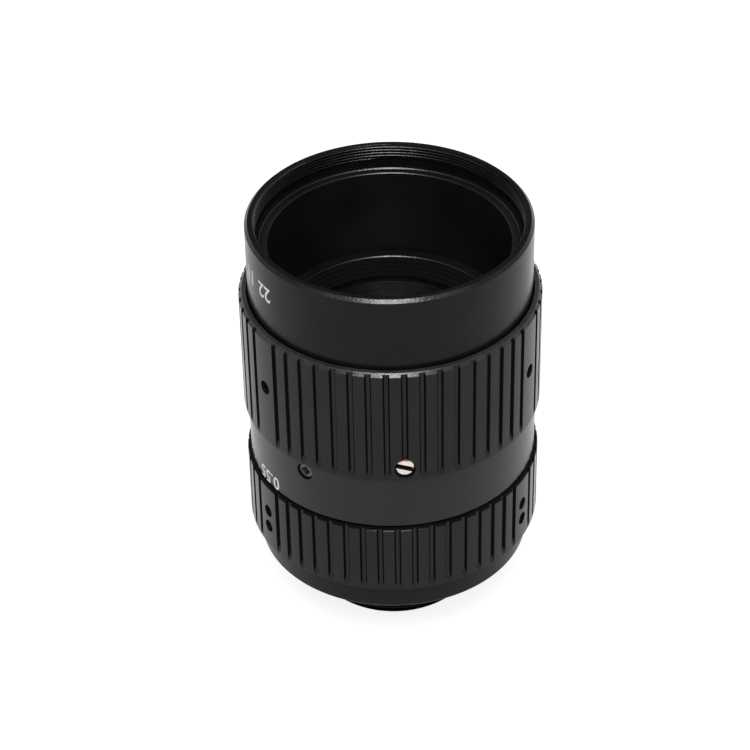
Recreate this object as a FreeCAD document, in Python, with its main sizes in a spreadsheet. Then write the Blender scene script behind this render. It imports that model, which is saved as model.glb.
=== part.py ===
import FreeCAD, Part
import math
import os

import Sketcher

# A fixed focal length lens for a machine vision camera, standing on its mount thread.
# Millimetres, +Z towards the front of the lens, origin on the axis in the plane of the mount's shoulder.
# Angles round the axis start at -Y, the side that carries the iris screw, and grow towards +X.

SIZES = {
    # mount barrel: the camera thread, the shoulder, the tail and the guide sleeve
    "thread_radius": 12.7,
    "thread_length": 4.0,
    "thread_chamfer": 0.5,
    "mount_bore": 11.4,
    "neck_radius": 15.0,
    "neck_length": 5.2,
    "tail_radius": 21.2,
    "tail_length": 4.7,
    "tail_floor": 1.6,
    "edge_break": 0.3,
    "boss_height": 3.1,
    "sleeve_radius": 17.0,
    "sleeve_wall": 1.1,
    "sleeve_height": 14.3,
    "guide_slot_width": 2.5,
    "guide_slot_floor": 5.3,
    # clearances
    "running_gap": 0.08,
    "face_gap": 0.1,
    "thread_play": 0.02,
    # focus ring: knurled grip, threaded inner ring, its retaining ring
    "focus_grip_radius": 22.75,
    "focus_grip_height": 11.85,
    "focus_grip_wall": 1.83,
    "focus_flange": 1.5,
    "focus_ring_step": 0.45,
    "helicoid_wall": 1.3,
    "focus_keeper_width": 2.1,
    "focus_keeper_height": 1.4,
    "focus_land_angle": -58.7,
    "focus_screw_low": 4.0,
    "focus_screw_spacing": 3.0,
    "focus_screw_hole": 1.0,
    # knurl of both rings
    "groove_width": 1.0,
    "groove_depth": 0.4,
    "groove_foot": 0.75,
    "groove_pitch": 20.0 / 3.0,
    "grooves_per_land": 17,
    "lands": 3,
    "grip_chamfer": 0.3,
    # travelling barrel: band, upper tube, iris seat, bulkhead
    "band_radius": 22.2,
    "band_height": 9.4,
    "band_gap": 0.3,
    "tube_radius": 20.15,
    "tube_wall": 0.9,
    "skirt_length": 8.9,
    "sleeve_head_room": 0.4,
    "bulkhead": 3.4,
    "bulkhead_bore": 13.6,
    "iris_seat_radius": 18.7,
    "iris_seat_depth": 7.3,
    "guide_pin_radius": 1.2,
    "guide_pin_height": 3.2,
    # iris ring: knurled grip and inner sleeve
    "iris_grip_radius": 22.9,
    "iris_grip_height": 19.65,
    "iris_grip_wall": 1.68,
    "iris_sleeve_height": 14.45,
    "iris_land_angle": -55.5,
    "iris_screw_height": 10.25,
    "iris_screw_hole": 1.075,
    # front barrel and its filter thread
    "front_radius": 21.5,
    "front_barrel_height": 17.1,
    "front_gap": 0.25,
    "front_chamfer": 0.45,
    "filter_thread_radius": 19.98,
    "filter_thread_length": 2.4,
    "filter_mouth_chamfer": 0.3,
    "filter_relief_radius": 20.25,
    "filter_relief_length": 1.3,
    "front_floor": 2.2,
    "front_floor_bore": 19.31,
    # front cell, the tube that holds the front glass
    "cell_radius": 19.2,
    "cell_height": 24.12,
    "cell_bore": 18.22,
    "cell_mouth_chamfer": 0.3,
    "cell_floor": 0.6,
    "cell_stop": 11.0,
    "front_glass_radius": 15.7,
    "front_glass_edge": 2.9,
    "front_glass_curve": 38.0,
    "front_keeper_height": 2.35,
    "front_keeper_mouth": 16.5,
    "front_keeper_overlap": 1.0,
    "second_glass_radius": 14.0,
    "second_glass_edge": 1.7,
    "second_glass_curve": 60.0,
    "second_glass_hollow": 26.0,
    "second_hollow_mouth": 10.5,
    "front_spacer_height": 1.7,
    "spacer_rim": 1.8,
    "glass_play": 0.05,
    # iris: base plate, blades, cam ring
    "iris_base_height": 2.9,
    "iris_opening": 8.9,
    "base_rim": 0.53,
    "blade_count": 7,
    "blade_inner": 9.0,
    "blade_outer": 14.4,
    "blade_span": 115.0,
    "blade_thickness": 0.1,
    "blade_pitch": 0.13,
    "blade_room": 0.15,
    "blade_pivot": 15.7,
    "blade_arm": 2.6,
    "blade_arm_angle": -85.0,
    "blade_ear": 0.75,
    "blade_pin": 0.4,
    "pin_gap": 0.05,
    "pivot_pin_depth": 1.1,
    "drive_pin_depth": 0.8,
    "cam_floor": 1.0,
    "cam_slot_depth": 0.9,
    "cam_rim": 1.72,
    "cam_opening": 12.6,
    "iris_turn": 40.0,
    "smallest_stop": 1.2,
    # screws
    "drive_screw_angle": 4.5,
    "drive_screw_radius": 1.43,
    "drive_screw_hole": 1.6,
    "drive_screw_height": 2.35,
    "drive_screw_proud": 0.25,
    "drive_screw_slot": 0.5,
    "drive_screw_slot_depth": 0.6,
    "drive_screw_slot_tilt": 10.0,
    "dog_point": 0.85,
    "dog_point_reach": 17.2,
    "set_screw_gap": 0.05,
    "set_screw_sink": 0.5,
    "hex_socket": 0.5,
    "hex_socket_depth": 0.7,
    "base_screw_angle": -36.8,
    "base_screw_height": 1.6,
    "base_screw_head": 1.15,
    "base_screw_head_room": 0.25,
    "base_screw_head_height": 1.0,
    "base_screw_sink": 0.35,
    "base_screw_shank": 0.8,
    "base_screw_reach": 16.9,
    "cross_recess": 0.35,
    "cross_recess_length": 1.5,
    "cross_recess_depth": 0.45,
    # rear cell and its glass
    "rear_thread_play": 0.05,
    "rear_flange_radius": 15.4,
    "rear_flange": 1.7,
    "rear_body_radius": 13.0,
    "rear_nose_radius": 10.9,
    "rear_nose_height": 10.0,
    "rear_floor_room": 0.4,
    "rear_tube_bore": 10.0,
    "rear_glass_radius": 9.6,
    "rear_glass_edge": 2.8,
    "rear_glass_front_curve": 30.0,
    "rear_glass_back_curve": 40.0,
    "rear_ledge": 0.8,
    "rear_ledge_height": 0.6,
    "rear_keeper_height": 1.6,
    "rear_keeper_overlap": 1.0,
    "doublet_radius": 11.5,
    "doublet_edge": 4.4,
    "doublet_hollow": 22.0,
    "doublet_hollow_mouth": 10.5,
    "doublet_back_curve": 22.0,
    "doublet_ledge": 0.95,
    "doublet_keeper_height": 0.9,
    "spanner_notch": 1.2,
    "spanner_notch_depth": 0.6,
}

SAME_PLACE = FreeCAD.Vector(0, 0, 0)
UP = FreeCAD.Vector(0, 0, 1)
EXTRA = 1.0  # how far a cutting shape reaches past what it cuts


class Size:
    """A length or angle that knows its formula in the sheet's names and its value."""

    def __init__(self, text, value):
        self.text = text
        self.value = value

    def _with(self, other, sign, value, swapped=False):
        left, right = (as_size(other), self) if swapped else (self, as_size(other))
        return Size(f"({left.text} {sign} {right.text})", value(left.value, right.value))

    def __add__(self, other):
        return self._with(other, "+", lambda a, b: a + b)

    def __radd__(self, other):
        return self._with(other, "+", lambda a, b: a + b, True)

    def __sub__(self, other):
        return self._with(other, "-", lambda a, b: a - b)

    def __rsub__(self, other):
        return self._with(other, "-", lambda a, b: a - b, True)

    def __mul__(self, other):
        return self._with(other, "*", lambda a, b: a * b)

    def __rmul__(self, other):
        return self._with(other, "*", lambda a, b: a * b, True)

    def __truediv__(self, other):
        return self._with(other, "/", lambda a, b: a / b)

    def __neg__(self):
        return as_size(0) - self


def as_size(number):
    return number if isinstance(number, Size) else Size(repr(float(number)), float(number))


def root(size):
    return Size(f"sqrt({size.text})", math.sqrt(size.value))


def fill_sheet(doc):
    """Writes the sizes into the sheet and hands them back by name."""
    sheet = doc.addObject("Spreadsheet::Sheet", "Sizes")
    for row, (name, value) in enumerate(SIZES.items(), start=1):
        sheet.set(f"A{row}", name)
        sheet.set(f"B{row}", repr(value))
        sheet.setAlias(f"B{row}", name)
    doc.recompute()
    return {name: Size(f"Sizes.{name}", float(sheet.get(name))) for name in SIZES}


doc = FreeCAD.newDocument("vision_lens")
S = fill_sheet(doc)
nodes = []


# Helpers: turned bodies, sketches, primitives and booleans

def bind(thing, path, size):
    """Ties a property to its formula, or sets it where the size is a plain number."""
    thing.setExpression(path, as_size(size).text)


def plane_of(body, role):
    return next(item for item in body.Origin.OriginFeatures if item.Role == role)


def new_body(label):
    body = doc.addObject("PartDesign::Body", label)
    body.Label = label
    return body


def new_sketch(body, name, role, offset=0, turn=0):
    """A sketch on an origin plane, moved out along its normal and turned about the lens axis."""
    sketch = body.newObject("Sketcher::SketchObject", name)
    sketch.AttachmentSupport = [(plane_of(body, role), "")]
    sketch.MapMode = "FlatFace"
    axis = FreeCAD.Vector(0, 1, 0)
    sketch.AttachmentOffset = FreeCAD.Placement(SAME_PLACE, FreeCAD.Rotation(axis, as_size(turn).value))
    bind(sketch, "AttachmentOffset.Base.z", offset)
    if isinstance(turn, Size):
        bind(sketch, "AttachmentOffset.Rotation.Angle", turn)
    return sketch


def fix(sketch, kind, geometry, point, size):
    """Holds one point of a sketch at a signed distance from the sketch's origin."""
    number = sketch.addConstraint(Sketcher.Constraint(kind, -1, 1, geometry, point, as_size(size).value))
    sketch.setExpression(f"Constraints[{number}]", as_size(size).text)


def polygon(sketch, points):
    """A closed outline of straight lines, each corner held by its two sizes."""
    places = [FreeCAD.Vector(as_size(x).value, as_size(y).value, 0) for x, y in points]
    count = len(points)
    for i in range(count):
        sketch.addGeometry(Part.LineSegment(places[i], places[(i + 1) % count]), False)
    for i in range(count):
        sketch.addConstraint(Sketcher.Constraint("Coincident", i, 2, (i + 1) % count, 1))
    for i, (x, y) in enumerate(points):
        fix(sketch, "DistanceX", i, 1, x)
        fix(sketch, "DistanceY", i, 1, y)


def turned(label, outline):
    """A piece made on a lathe: its half section is given as (radius, height) corners."""
    body = new_body(label)
    sketch = new_sketch(body, label + "_section", "XZ_Plane")
    polygon(sketch, outline)
    solid = body.newObject("PartDesign::Revolution", label + "_turned")
    solid.Profile = sketch
    solid.ReferenceAxis = (sketch, ["V_Axis"])
    solid.Angle = 360
    body.Tip = solid
    doc.recompute()
    return body


def pocket_outwards(body, name, sketch, length):
    """Cuts from the sketch's plane away from the lens axis, and checks that metal went."""
    before = body.Tip.Shape.Volume
    pocket = body.newObject("PartDesign::Pocket", name)
    pocket.Profile = sketch
    pocket.Type = "Length"
    bind(pocket, "Length", length)
    pocket.Reversed = True
    body.Tip = pocket
    doc.recompute()
    if not pocket.Shape.Volume < before:
        raise RuntimeError(name + " cuts nothing")
    return pocket


def repeat(body, name, features, count, angle=360):
    """Repeats features round the lens axis."""
    pattern = body.newObject("PartDesign::PolarPattern", name)
    pattern.Originals = features
    pattern.Axis = (plane_of(body, "Z_Axis"), [""])
    bind(pattern, "Angle", angle)
    bind(pattern, "Occurrences", count)
    body.Tip = pattern
    doc.recompute()
    return pattern


def radial_holes(body, name, angle, heights, radius, reach):
    """Round holes from the axis outwards at each land."""
    made = []
    for number, height in enumerate(heights, start=1):
        sketch = new_sketch(body, f"{name}_{number}_outline", "XZ_Plane", 0, angle)
        centre = FreeCAD.Vector(0, height.value, 0)
        sketch.addGeometry(Part.Circle(centre, UP, radius.value), False)
        sketch.addConstraint(Sketcher.Constraint("PointOnObject", 0, 3, -2))
        fix(sketch, "DistanceY", 0, 3, height)
        row = sketch.addConstraint(Sketcher.Constraint("Radius", 0, radius.value))
        bind(sketch, f"Constraints[{row}]", radius)
        made.append(pocket_outwards(body, f"{name}_{number}", sketch, reach))
    return made


def primitive(kind, name, sizes, base=(0, 0, 0), rotation=None):
    """A Part primitive with its sizes and its place bound to the sheet."""
    thing = doc.addObject("Part::" + kind, name)
    for path, size in sizes.items():
        bind(thing, path, size)
    if rotation is not None:
        thing.Placement = FreeCAD.Placement(SAME_PLACE, rotation)
    for path, size in zip("xyz", base):
        bind(thing, "Placement.Base." + path, size)
    return thing


def cylinder(name, radius, height, base=(0, 0, 0), rotation=None, span=360):
    sizes = {"Radius": radius, "Height": height, "Angle": span}
    return primitive("Cylinder", name, sizes, base, rotation)


def joined(kind, label, things):
    """MultiFuse makes one solid, MultiCommon keeps what is shared, Compound keeps pieces apart."""
    made = doc.addObject("Part::" + kind, label)
    made.Label = label
    if kind == "Compound":
        made.Links = things
    else:
        made.Shapes = things
        made.Refine = True
    return made


def cut(label, base, tools):
    made = doc.addObject("Part::Cut", label)
    made.Label = label
    made.Base = base
    made.Tool = tools[0] if len(tools) == 1 else joined("Compound", label + "_tools", tools)
    made.Refine = True
    return made


def outward(angle):
    """The direction away from the lens axis at an angle, and the turn that points +Z that way."""
    turn = math.radians(as_size(angle).value)
    way = FreeCAD.Vector(math.sin(turn), -math.cos(turn), 0)
    return way, FreeCAD.Rotation(UP.cross(way), UP, way, "ZXY")


def radial(kind, name, sizes, angle, start, height):
    """A primitive whose own +Z points away from the lens axis, starting at a radius and a height."""
    way, turn = outward(angle)
    place = way * as_size(start).value + UP * as_size(height).value
    thing = primitive(kind, name, sizes)
    for path in "xyz":
        thing.setExpression("Placement.Base." + path, None)
    thing.Placement = FreeCAD.Placement(place, turn)
    return thing


def recess_bar(name, length, width, depth, angle, surface, height, tilt=0):
    """A bar centred on a radial line, to cut a slot into a screw's outer end."""
    sizes = {"Length": length, "Width": width, "Height": depth + EXTRA}
    bar = radial("Box", name, sizes, angle, surface - depth, height)
    corner = FreeCAD.Vector(-as_size(length).value / 2, -as_size(width).value / 2, 0)
    spin = FreeCAD.Placement(SAME_PLACE, FreeCAD.Rotation(UP, as_size(tilt).value))
    bar.Placement = bar.Placement.multiply(spin).multiply(FreeCAD.Placement(corner, FreeCAD.Rotation()))
    return bar


def spanner_notches(label, outer, inner, top):
    """Two notches across a retaining ring's top face, for a lens spanner."""
    middle = (outer + inner) / 2
    tools = []
    for number, side in enumerate((-1, 1), start=1):
        base = (side * middle - S["spanner_notch"] / 2, -S["spanner_notch"] / 2, top)
        sizes = {
            "Length": S["spanner_notch"],
            "Width": S["spanner_notch"],
            "Height": S["spanner_notch_depth"] + EXTRA,
        }
        tools.append(primitive("Box", f"{label}_notch_{number}", sizes, base))
    return tools


# Levels along the axis that several pieces share

tail_top = S["neck_length"] + S["tail_length"]
boss_top = tail_top + S["boss_height"]
sleeve_top = tail_top + S["sleeve_height"]
boss_radius = S["sleeve_radius"] + S["face_gap"]
bore_floor = S["neck_length"] + S["tail_floor"]

focus_base = tail_top + S["face_gap"]
focus_top = focus_base + S["focus_grip_height"]
helicoid_top = focus_top - S["focus_ring_step"]
helicoid_outer = S["focus_grip_radius"] - S["focus_grip_wall"] - S["thread_play"]
helicoid_bore = helicoid_outer - S["helicoid_wall"]

band_base = focus_top + S["band_gap"]
band_top = band_base + S["band_height"]
skirt_base = band_base - S["skirt_length"]
skirt_outer = helicoid_bore - S["running_gap"]
skirt_bore = S["sleeve_radius"] + S["running_gap"]
bulkhead_base = sleeve_top + S["sleeve_head_room"]
bulkhead_top = bulkhead_base + S["bulkhead"]
cell_base = bulkhead_top + S["iris_seat_depth"]

iris_base = band_top + S["face_gap"]
iris_top = iris_base + S["iris_grip_height"]
sleeve_ring_top = iris_base + S["iris_sleeve_height"]
front_base = sleeve_ring_top + S["face_gap"]
rim = front_base + S["front_barrel_height"]
tube_bore = S["tube_radius"] - S["tube_wall"]
front_floor_top = rim - S["filter_thread_length"] - S["filter_relief_length"]
front_floor_base = front_floor_top - S["front_floor"]
tube_top = front_floor_base - S["face_gap"]
iris_ring_bore = S["tube_radius"] + S["running_gap"]
iris_ring_outer = S["iris_grip_radius"] - S["iris_grip_wall"] - S["thread_play"]

blades_base = bulkhead_top + S["iris_base_height"] + S["blade_room"]
blades_top = blades_base + S["blade_pitch"] * (S["blade_count"] - 1) + S["blade_thickness"]
cam_base = blades_top + S["blade_room"]
cam_floor_top = cam_base + S["cam_floor"]
cam_top = cell_base - S["face_gap"]
cam_outer = S["iris_seat_radius"] - S["running_gap"]
drive_screw_level = iris_base + S["drive_screw_height"]


def mount_barrel():
    """Camera thread, shoulder, tail and guide sleeve, turned in one piece, with the guide slots cut."""
    edge = S["edge_break"]
    body = turned("mount_barrel", [
        (S["mount_bore"], -S["thread_length"]),
        (S["thread_radius"] - S["thread_chamfer"], -S["thread_length"]),
        (S["thread_radius"], S["thread_chamfer"] - S["thread_length"]),
        (S["thread_radius"], 0),
        (S["neck_radius"], 0),
        (S["neck_radius"], S["neck_length"]),
        (S["tail_radius"] - edge, S["neck_length"]),
        (S["tail_radius"], S["neck_length"] + edge),
        (S["tail_radius"], tail_top),
        (boss_radius, tail_top),
        (boss_radius, boss_top),
        (S["sleeve_radius"], boss_top),
        (S["sleeve_radius"], sleeve_top),
        (S["sleeve_radius"] - S["sleeve_wall"], sleeve_top),
        (S["sleeve_radius"] - S["sleeve_wall"], bore_floor),
        (S["mount_bore"], bore_floor),
    ])
    sketch = new_sketch(body, "guide_slot_outline", "XZ_Plane")
    half = S["guide_slot_width"] / 2
    floor = tail_top + S["guide_slot_floor"]
    polygon(sketch, [(-half, floor), (half, floor), (half, sleeve_top + EXTRA), (-half, sleeve_top + EXTRA)])
    slot = pocket_outwards(body, "guide_slot", sketch, S["sleeve_radius"] + EXTRA)
    repeat(body, "guide_slots", [slot], S["lands"])
    nodes.append(body)


def focus_keeper():
    """The threaded ring on the boss that keeps the focus ring down on the tail."""
    base = focus_base + S["focus_flange"] + S["face_gap"]
    inner = boss_radius + S["thread_play"]
    outer = inner + S["focus_keeper_width"]
    top = base + S["focus_keeper_height"]
    ring = turned("focus_keeper_turned", [(inner, base), (outer, base), (outer, top), (inner, top)])
    notches = spanner_notches("focus_keeper", outer, inner, top - S["spanner_notch_depth"])
    nodes.append(cut("focus_keeper", ring, notches))


def helicoid_ring():
    """Inner half of the focus ring: it drives the travelling barrel with its coarse inner thread."""
    flange_bore = boss_radius + S["running_gap"]
    flange_top = focus_base + S["focus_flange"]
    nodes.append(turned("helicoid_ring", [
        (flange_bore, focus_base),
        (helicoid_outer, focus_base),
        (helicoid_outer, helicoid_top),
        (helicoid_bore, helicoid_top),
        (helicoid_bore, flange_top),
        (flange_bore, flange_top),
    ]))


def knurl(body, label, radius, base, top):
    """Milled grooves, open towards the front, in three runs with a plain land between runs."""
    foot = base + S["groove_foot"] + S["groove_width"] / 2
    half = S["groove_width"] / 2
    sketch = new_sketch(body, label + "_groove_outline", "XZ_Plane", radius - S["groove_depth"])
    corners = [(-half, foot), (-half, top + EXTRA), (half, top + EXTRA), (half, foot)]
    places = [FreeCAD.Vector(as_size(x).value, y.value, 0) for x, y in corners]
    for i in range(3):
        sketch.addGeometry(Part.LineSegment(places[i], places[i + 1]), False)
    circle = Part.Circle(FreeCAD.Vector(0, foot.value, 0), UP, half.value)
    sketch.addGeometry(Part.ArcOfCircle(circle, math.pi, 2 * math.pi), False)
    for first, second in ((0, 1), (1, 2)):
        sketch.addConstraint(Sketcher.Constraint("Coincident", first, 2, second, 1))
    sketch.addConstraint(Sketcher.Constraint("Coincident", 0, 1, 3, 1))
    sketch.addConstraint(Sketcher.Constraint("Coincident", 2, 2, 3, 2))
    for i, (x, y) in enumerate(corners[:3]):
        fix(sketch, "DistanceX", i, 1, x)
        fix(sketch, "DistanceY", i, 1, y)
    fix(sketch, "DistanceX", 2, 2, half)
    fix(sketch, "DistanceY", 2, 2, foot)
    fix(sketch, "DistanceY", 3, 3, foot)
    groove = pocket_outwards(body, label + "_groove", sketch, S["groove_depth"] + EXTRA)
    run = S["groove_pitch"] * (S["grooves_per_land"] - 1)
    one_run = body.newObject("PartDesign::PolarPattern", label + "_run")
    one_run.Axis = (plane_of(body, "Z_Axis"), [""])
    bind(one_run, "Angle", run)
    bind(one_run, "Occurrences", S["grooves_per_land"])
    all_runs = body.newObject("PartDesign::PolarPattern", label + "_runs")
    all_runs.Axis = (plane_of(body, "Z_Axis"), [""])
    all_runs.Angle = 360
    bind(all_runs, "Occurrences", S["lands"])
    whole = body.newObject("PartDesign::MultiTransform", label + "_knurl")
    whole.Originals = [groove]
    whole.Transformations = [one_run, all_runs]
    body.Tip = whole
    doc.recompute()


def place_on_land(body, land_angle):
    """The first groove is cut at angle nought, so the ring is turned until its land is in place."""
    bind(body, "Placement.Rotation.Yaw", land_angle + S["groove_pitch"])


def focus_grip():
    """The lower knurled ring, with two set screw holes on each land."""
    outer = S["focus_grip_radius"]
    inner = outer - S["focus_grip_wall"]
    edge = S["grip_chamfer"]
    body = turned("focus_grip", [
        (inner, focus_base),
        (outer - edge, focus_base),
        (outer, focus_base + edge),
        (outer, focus_top - edge),
        (outer - edge, focus_top),
        (inner, focus_top),
    ])
    knurl(body, "focus", outer, focus_base, focus_top)
    low = focus_base + S["focus_screw_low"]
    heights = [low, low + S["focus_screw_spacing"]]
    holes = radial_holes(body, "focus_screw_hole", -S["groove_pitch"], heights, S["focus_screw_hole"], outer + EXTRA)
    repeat(body, "focus_screw_holes", holes, S["lands"])
    place_on_land(body, S["focus_land_angle"])
    nodes.append(body)


def iris_grip():
    """The upper knurled ring, with one set screw hole on each land and the hole for the drive screw."""
    outer = S["iris_grip_radius"]
    inner = outer - S["iris_grip_wall"]
    mouth = S["front_radius"] + S["front_gap"]
    edge = S["grip_chamfer"]
    body = turned("iris_grip", [
        (inner, iris_base),
        (outer - edge, iris_base),
        (outer, iris_base + edge),
        (outer, iris_top - edge),
        (outer - edge, iris_top),
        (mouth, iris_top),
        (mouth, sleeve_ring_top),
        (inner, sleeve_ring_top),
    ])
    knurl(body, "iris", outer, iris_base, iris_top)
    heights = [iris_base + S["iris_screw_height"]]
    reach = outer + EXTRA
    holes = radial_holes(body, "iris_screw_hole", -S["groove_pitch"], heights, S["iris_screw_hole"], reach)
    repeat(body, "iris_screw_holes", holes, S["lands"])
    turn = S["drive_screw_angle"] - S["iris_land_angle"] - S["groove_pitch"]
    radial_holes(body, "drive_screw_hole", turn, [drive_screw_level], S["drive_screw_hole"], reach)
    place_on_land(body, S["iris_land_angle"])
    nodes.append(body)


def iris_sleeve():
    """Inner half of the iris ring: it runs on the tube and carries the drive screw."""
    ring = turned("iris_sleeve_turned", [
        (iris_ring_bore, iris_base),
        (iris_ring_outer, iris_base),
        (iris_ring_outer, sleeve_ring_top),
        (iris_ring_bore, sleeve_ring_top),
    ])
    radius = S["drive_screw_radius"] + S["thread_play"]
    sizes = {"Radius": radius, "Height": iris_ring_outer}
    tool = radial("Cylinder", "iris_sleeve_hole", sizes, S["drive_screw_angle"], 0, drive_screw_level)
    nodes.append(cut("iris_sleeve", ring, [tool]))


def main_barrel():
    """The travelling barrel: guided skirt, plain band, bulkhead, iris seat and upper tube."""
    edge = S["edge_break"]
    ring = turned("main_barrel_turned", [
        (skirt_bore, skirt_base),
        (skirt_outer, skirt_base),
        (skirt_outer, band_base),
        (S["band_radius"] - edge, band_base),
        (S["band_radius"], band_base + edge),
        (S["band_radius"], band_top - edge),
        (S["band_radius"] - edge, band_top),
        (S["tube_radius"], band_top),
        (S["tube_radius"], tube_top),
        (tube_bore, tube_top),
        (tube_bore, cell_base),
        (S["iris_seat_radius"], cell_base),
        (S["iris_seat_radius"], bulkhead_top),
        (S["bulkhead_bore"], bulkhead_top),
        (S["bulkhead_bore"], bulkhead_base),
        (skirt_bore, bulkhead_base),
    ])
    tools = iris_slot() + base_screw_bores() + guide_pin_bores()
    nodes.append(cut("main_barrel", ring, tools))


def iris_slot():
    """The slot that lets the drive screw's point through to the cam ring, as long as the iris turn."""
    half = S["dog_point"] + S["running_gap"]
    start = S["drive_screw_angle"].value - 90
    sizes = {"Radius": half, "Height": S["tube_radius"] + EXTRA}
    ends = [
        radial("Cylinder", "iris_slot_start", sizes, S["drive_screw_angle"], 0, drive_screw_level),
        radial("Cylinder", "iris_slot_end", sizes, S["drive_screw_angle"] + S["iris_turn"], 0, drive_screw_level),
    ]
    base = (0, 0, drive_screw_level - half)
    turn = FreeCAD.Rotation(UP, start)
    sector = cylinder("iris_slot_sector", S["tube_radius"] + EXTRA, 2 * half, base, turn, S["iris_turn"])
    return ends + [sector]


def base_screw_level():
    return bulkhead_top + S["base_screw_height"]


def base_screw_places():
    count = int(S["lands"].value)
    return [S["base_screw_angle"] + 360 * number / count for number in range(count)]


def base_screw_bores():
    """Counterbored holes for the screws that hold the iris base."""
    tools = []
    seat = S["band_radius"] - S["base_screw_sink"] - S["base_screw_head_height"]
    for number, angle in enumerate(base_screw_places(), start=1):
        shank = {"Radius": S["base_screw_shank"] + S["thread_play"], "Height": S["band_radius"]}
        head = {"Radius": S["base_screw_head"] + S["base_screw_head_room"], "Height": S["band_radius"]}
        tools.append(radial("Cylinder", f"base_screw_bore_{number}", shank, angle, 0, base_screw_level()))
        tools.append(radial("Cylinder", f"base_screw_seat_{number}", head, angle, seat, base_screw_level()))
    return tools


def guide_pin_level():
    return skirt_base + S["guide_pin_height"]


def guide_angles():
    count = int(S["lands"].value)
    return [360 * number / count for number in range(count)]


def guide_pin_bores():
    tools = []
    for number, angle in enumerate(guide_angles(), start=1):
        sizes = {"Radius": S["guide_pin_radius"] + S["thread_play"], "Height": skirt_outer + EXTRA}
        tools.append(radial("Cylinder", f"guide_pin_bore_{number}", sizes, angle, 0, guide_pin_level()))
    return tools


def guide_pins():
    """Pins from the skirt into the sleeve's slots, so that the barrel travels and does not turn."""
    pins = []
    inner = S["sleeve_radius"] - S["sleeve_wall"]
    for number, angle in enumerate(guide_angles(), start=1):
        sizes = {"Radius": S["guide_pin_radius"], "Height": skirt_outer - S["running_gap"] - inner}
        pins.append(radial("Cylinder", f"guide_pin_{number}", sizes, angle, inner, guide_pin_level()))
    nodes.append(joined("Compound", "guide_pins", pins))


def front_barrel():
    """The front tube with the filter thread: it screws over the upper tube and keeps the iris ring on."""
    outer = S["front_radius"]
    over_tube = S["tube_radius"] + S["thread_play"]
    relief_top = front_floor_top + S["filter_relief_length"]
    mouth = S["filter_mouth_chamfer"]
    nodes.append(turned("front_barrel", [
        (over_tube, front_base),
        (outer, front_base),
        (outer, rim - S["front_chamfer"]),
        (outer - S["front_chamfer"], rim),
        (S["filter_thread_radius"] + mouth, rim),
        (S["filter_thread_radius"], rim - mouth),
        (S["filter_thread_radius"], relief_top),
        (S["filter_relief_radius"], relief_top),
        (S["filter_relief_radius"], front_floor_top),
        (S["front_floor_bore"], front_floor_top),
        (S["front_floor_bore"], front_floor_base),
        (over_tube, front_floor_base),
    ]))


def half_chord(curve, radius):
    """How far a sphere's centre lies from the plane where it is as wide as the given radius."""
    return root(curve * curve - radius * radius)


def bulge(curve, inner, outer):
    """How much a convex glass rises between two radii."""
    return half_chord(curve, inner) - half_chord(curve, outer)


second_glass_base = cell_base + S["cell_floor"]
second_glass_top = second_glass_base + S["second_glass_edge"]
front_glass_base = second_glass_top + S["front_spacer_height"]
front_glass_top = front_glass_base + S["front_glass_edge"]
front_keeper_bore = S["front_glass_radius"] - S["front_keeper_overlap"]
front_keeper_base = (front_glass_top + S["glass_play"]
                     + bulge(S["front_glass_curve"], front_keeper_bore, S["front_glass_radius"]))
front_keeper_top = front_keeper_base + S["front_keeper_height"]


def front_cell():
    """The deep black tube in the front barrel, stepped inside for its glasses."""
    mouth = S["cell_mouth_chamfer"]
    top = cell_base + S["cell_height"]
    front_seat = S["front_glass_radius"] + S["glass_play"]
    second_seat = S["second_glass_radius"] + S["glass_play"]
    nodes.append(turned("front_cell", [
        (S["cell_stop"], cell_base),
        (S["cell_radius"], cell_base),
        (S["cell_radius"], top),
        (S["cell_bore"] + mouth, top),
        (S["cell_bore"], top - mouth),
        (S["cell_bore"], front_keeper_base),
        (front_seat, front_keeper_base),
        (front_seat, second_glass_top),
        (second_seat, second_glass_top),
        (second_seat, second_glass_base),
        (S["cell_stop"], second_glass_base),
    ]))


def front_keeper():
    """The retaining ring in front of the front glass, coned towards it."""
    outer = S["cell_bore"] - S["thread_play"]
    ring = turned("front_keeper_turned", [
        (front_keeper_bore, front_keeper_base),
        (outer, front_keeper_base),
        (outer, front_keeper_top),
        (S["front_keeper_mouth"], front_keeper_top),
    ])
    place = front_keeper_top - S["spanner_notch_depth"]
    notches = spanner_notches("front_keeper", outer, S["front_keeper_mouth"], place)
    nodes.append(cut("front_keeper", ring, notches))


def ball(name, radius, centre):
    return primitive("Sphere", name, {"Radius": radius}, (0, 0, centre))


def front_glass():
    """Front element: strongly convex to the front, flat behind."""
    blank = cylinder("front_glass_blank", S["front_glass_radius"], S["front_glass_edge"] * 3,
                     (0, 0, front_glass_base))
    centre = front_glass_top - half_chord(S["front_glass_curve"], S["front_glass_radius"])
    dome = ball("front_glass_dome", S["front_glass_curve"], centre)
    nodes.append(joined("MultiCommon", "front_glass", [blank, dome]))


def second_glass():
    """Second element: a thin meniscus, hollow towards the iris."""
    blank = cylinder("second_glass_blank", S["second_glass_radius"], S["second_glass_edge"] * 3,
                     (0, 0, second_glass_base))
    centre = second_glass_top - half_chord(S["second_glass_curve"], S["second_glass_radius"])
    dome = ball("second_glass_dome", S["second_glass_curve"], centre)
    lens = joined("MultiCommon", "second_glass_blank_domed", [blank, dome])
    hollow_centre = second_glass_base - half_chord(S["second_glass_hollow"], S["second_hollow_mouth"])
    hollow = ball("second_glass_hollow_ball", S["second_glass_hollow"], hollow_centre)
    nodes.append(cut("second_glass", lens, [hollow]))


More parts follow.
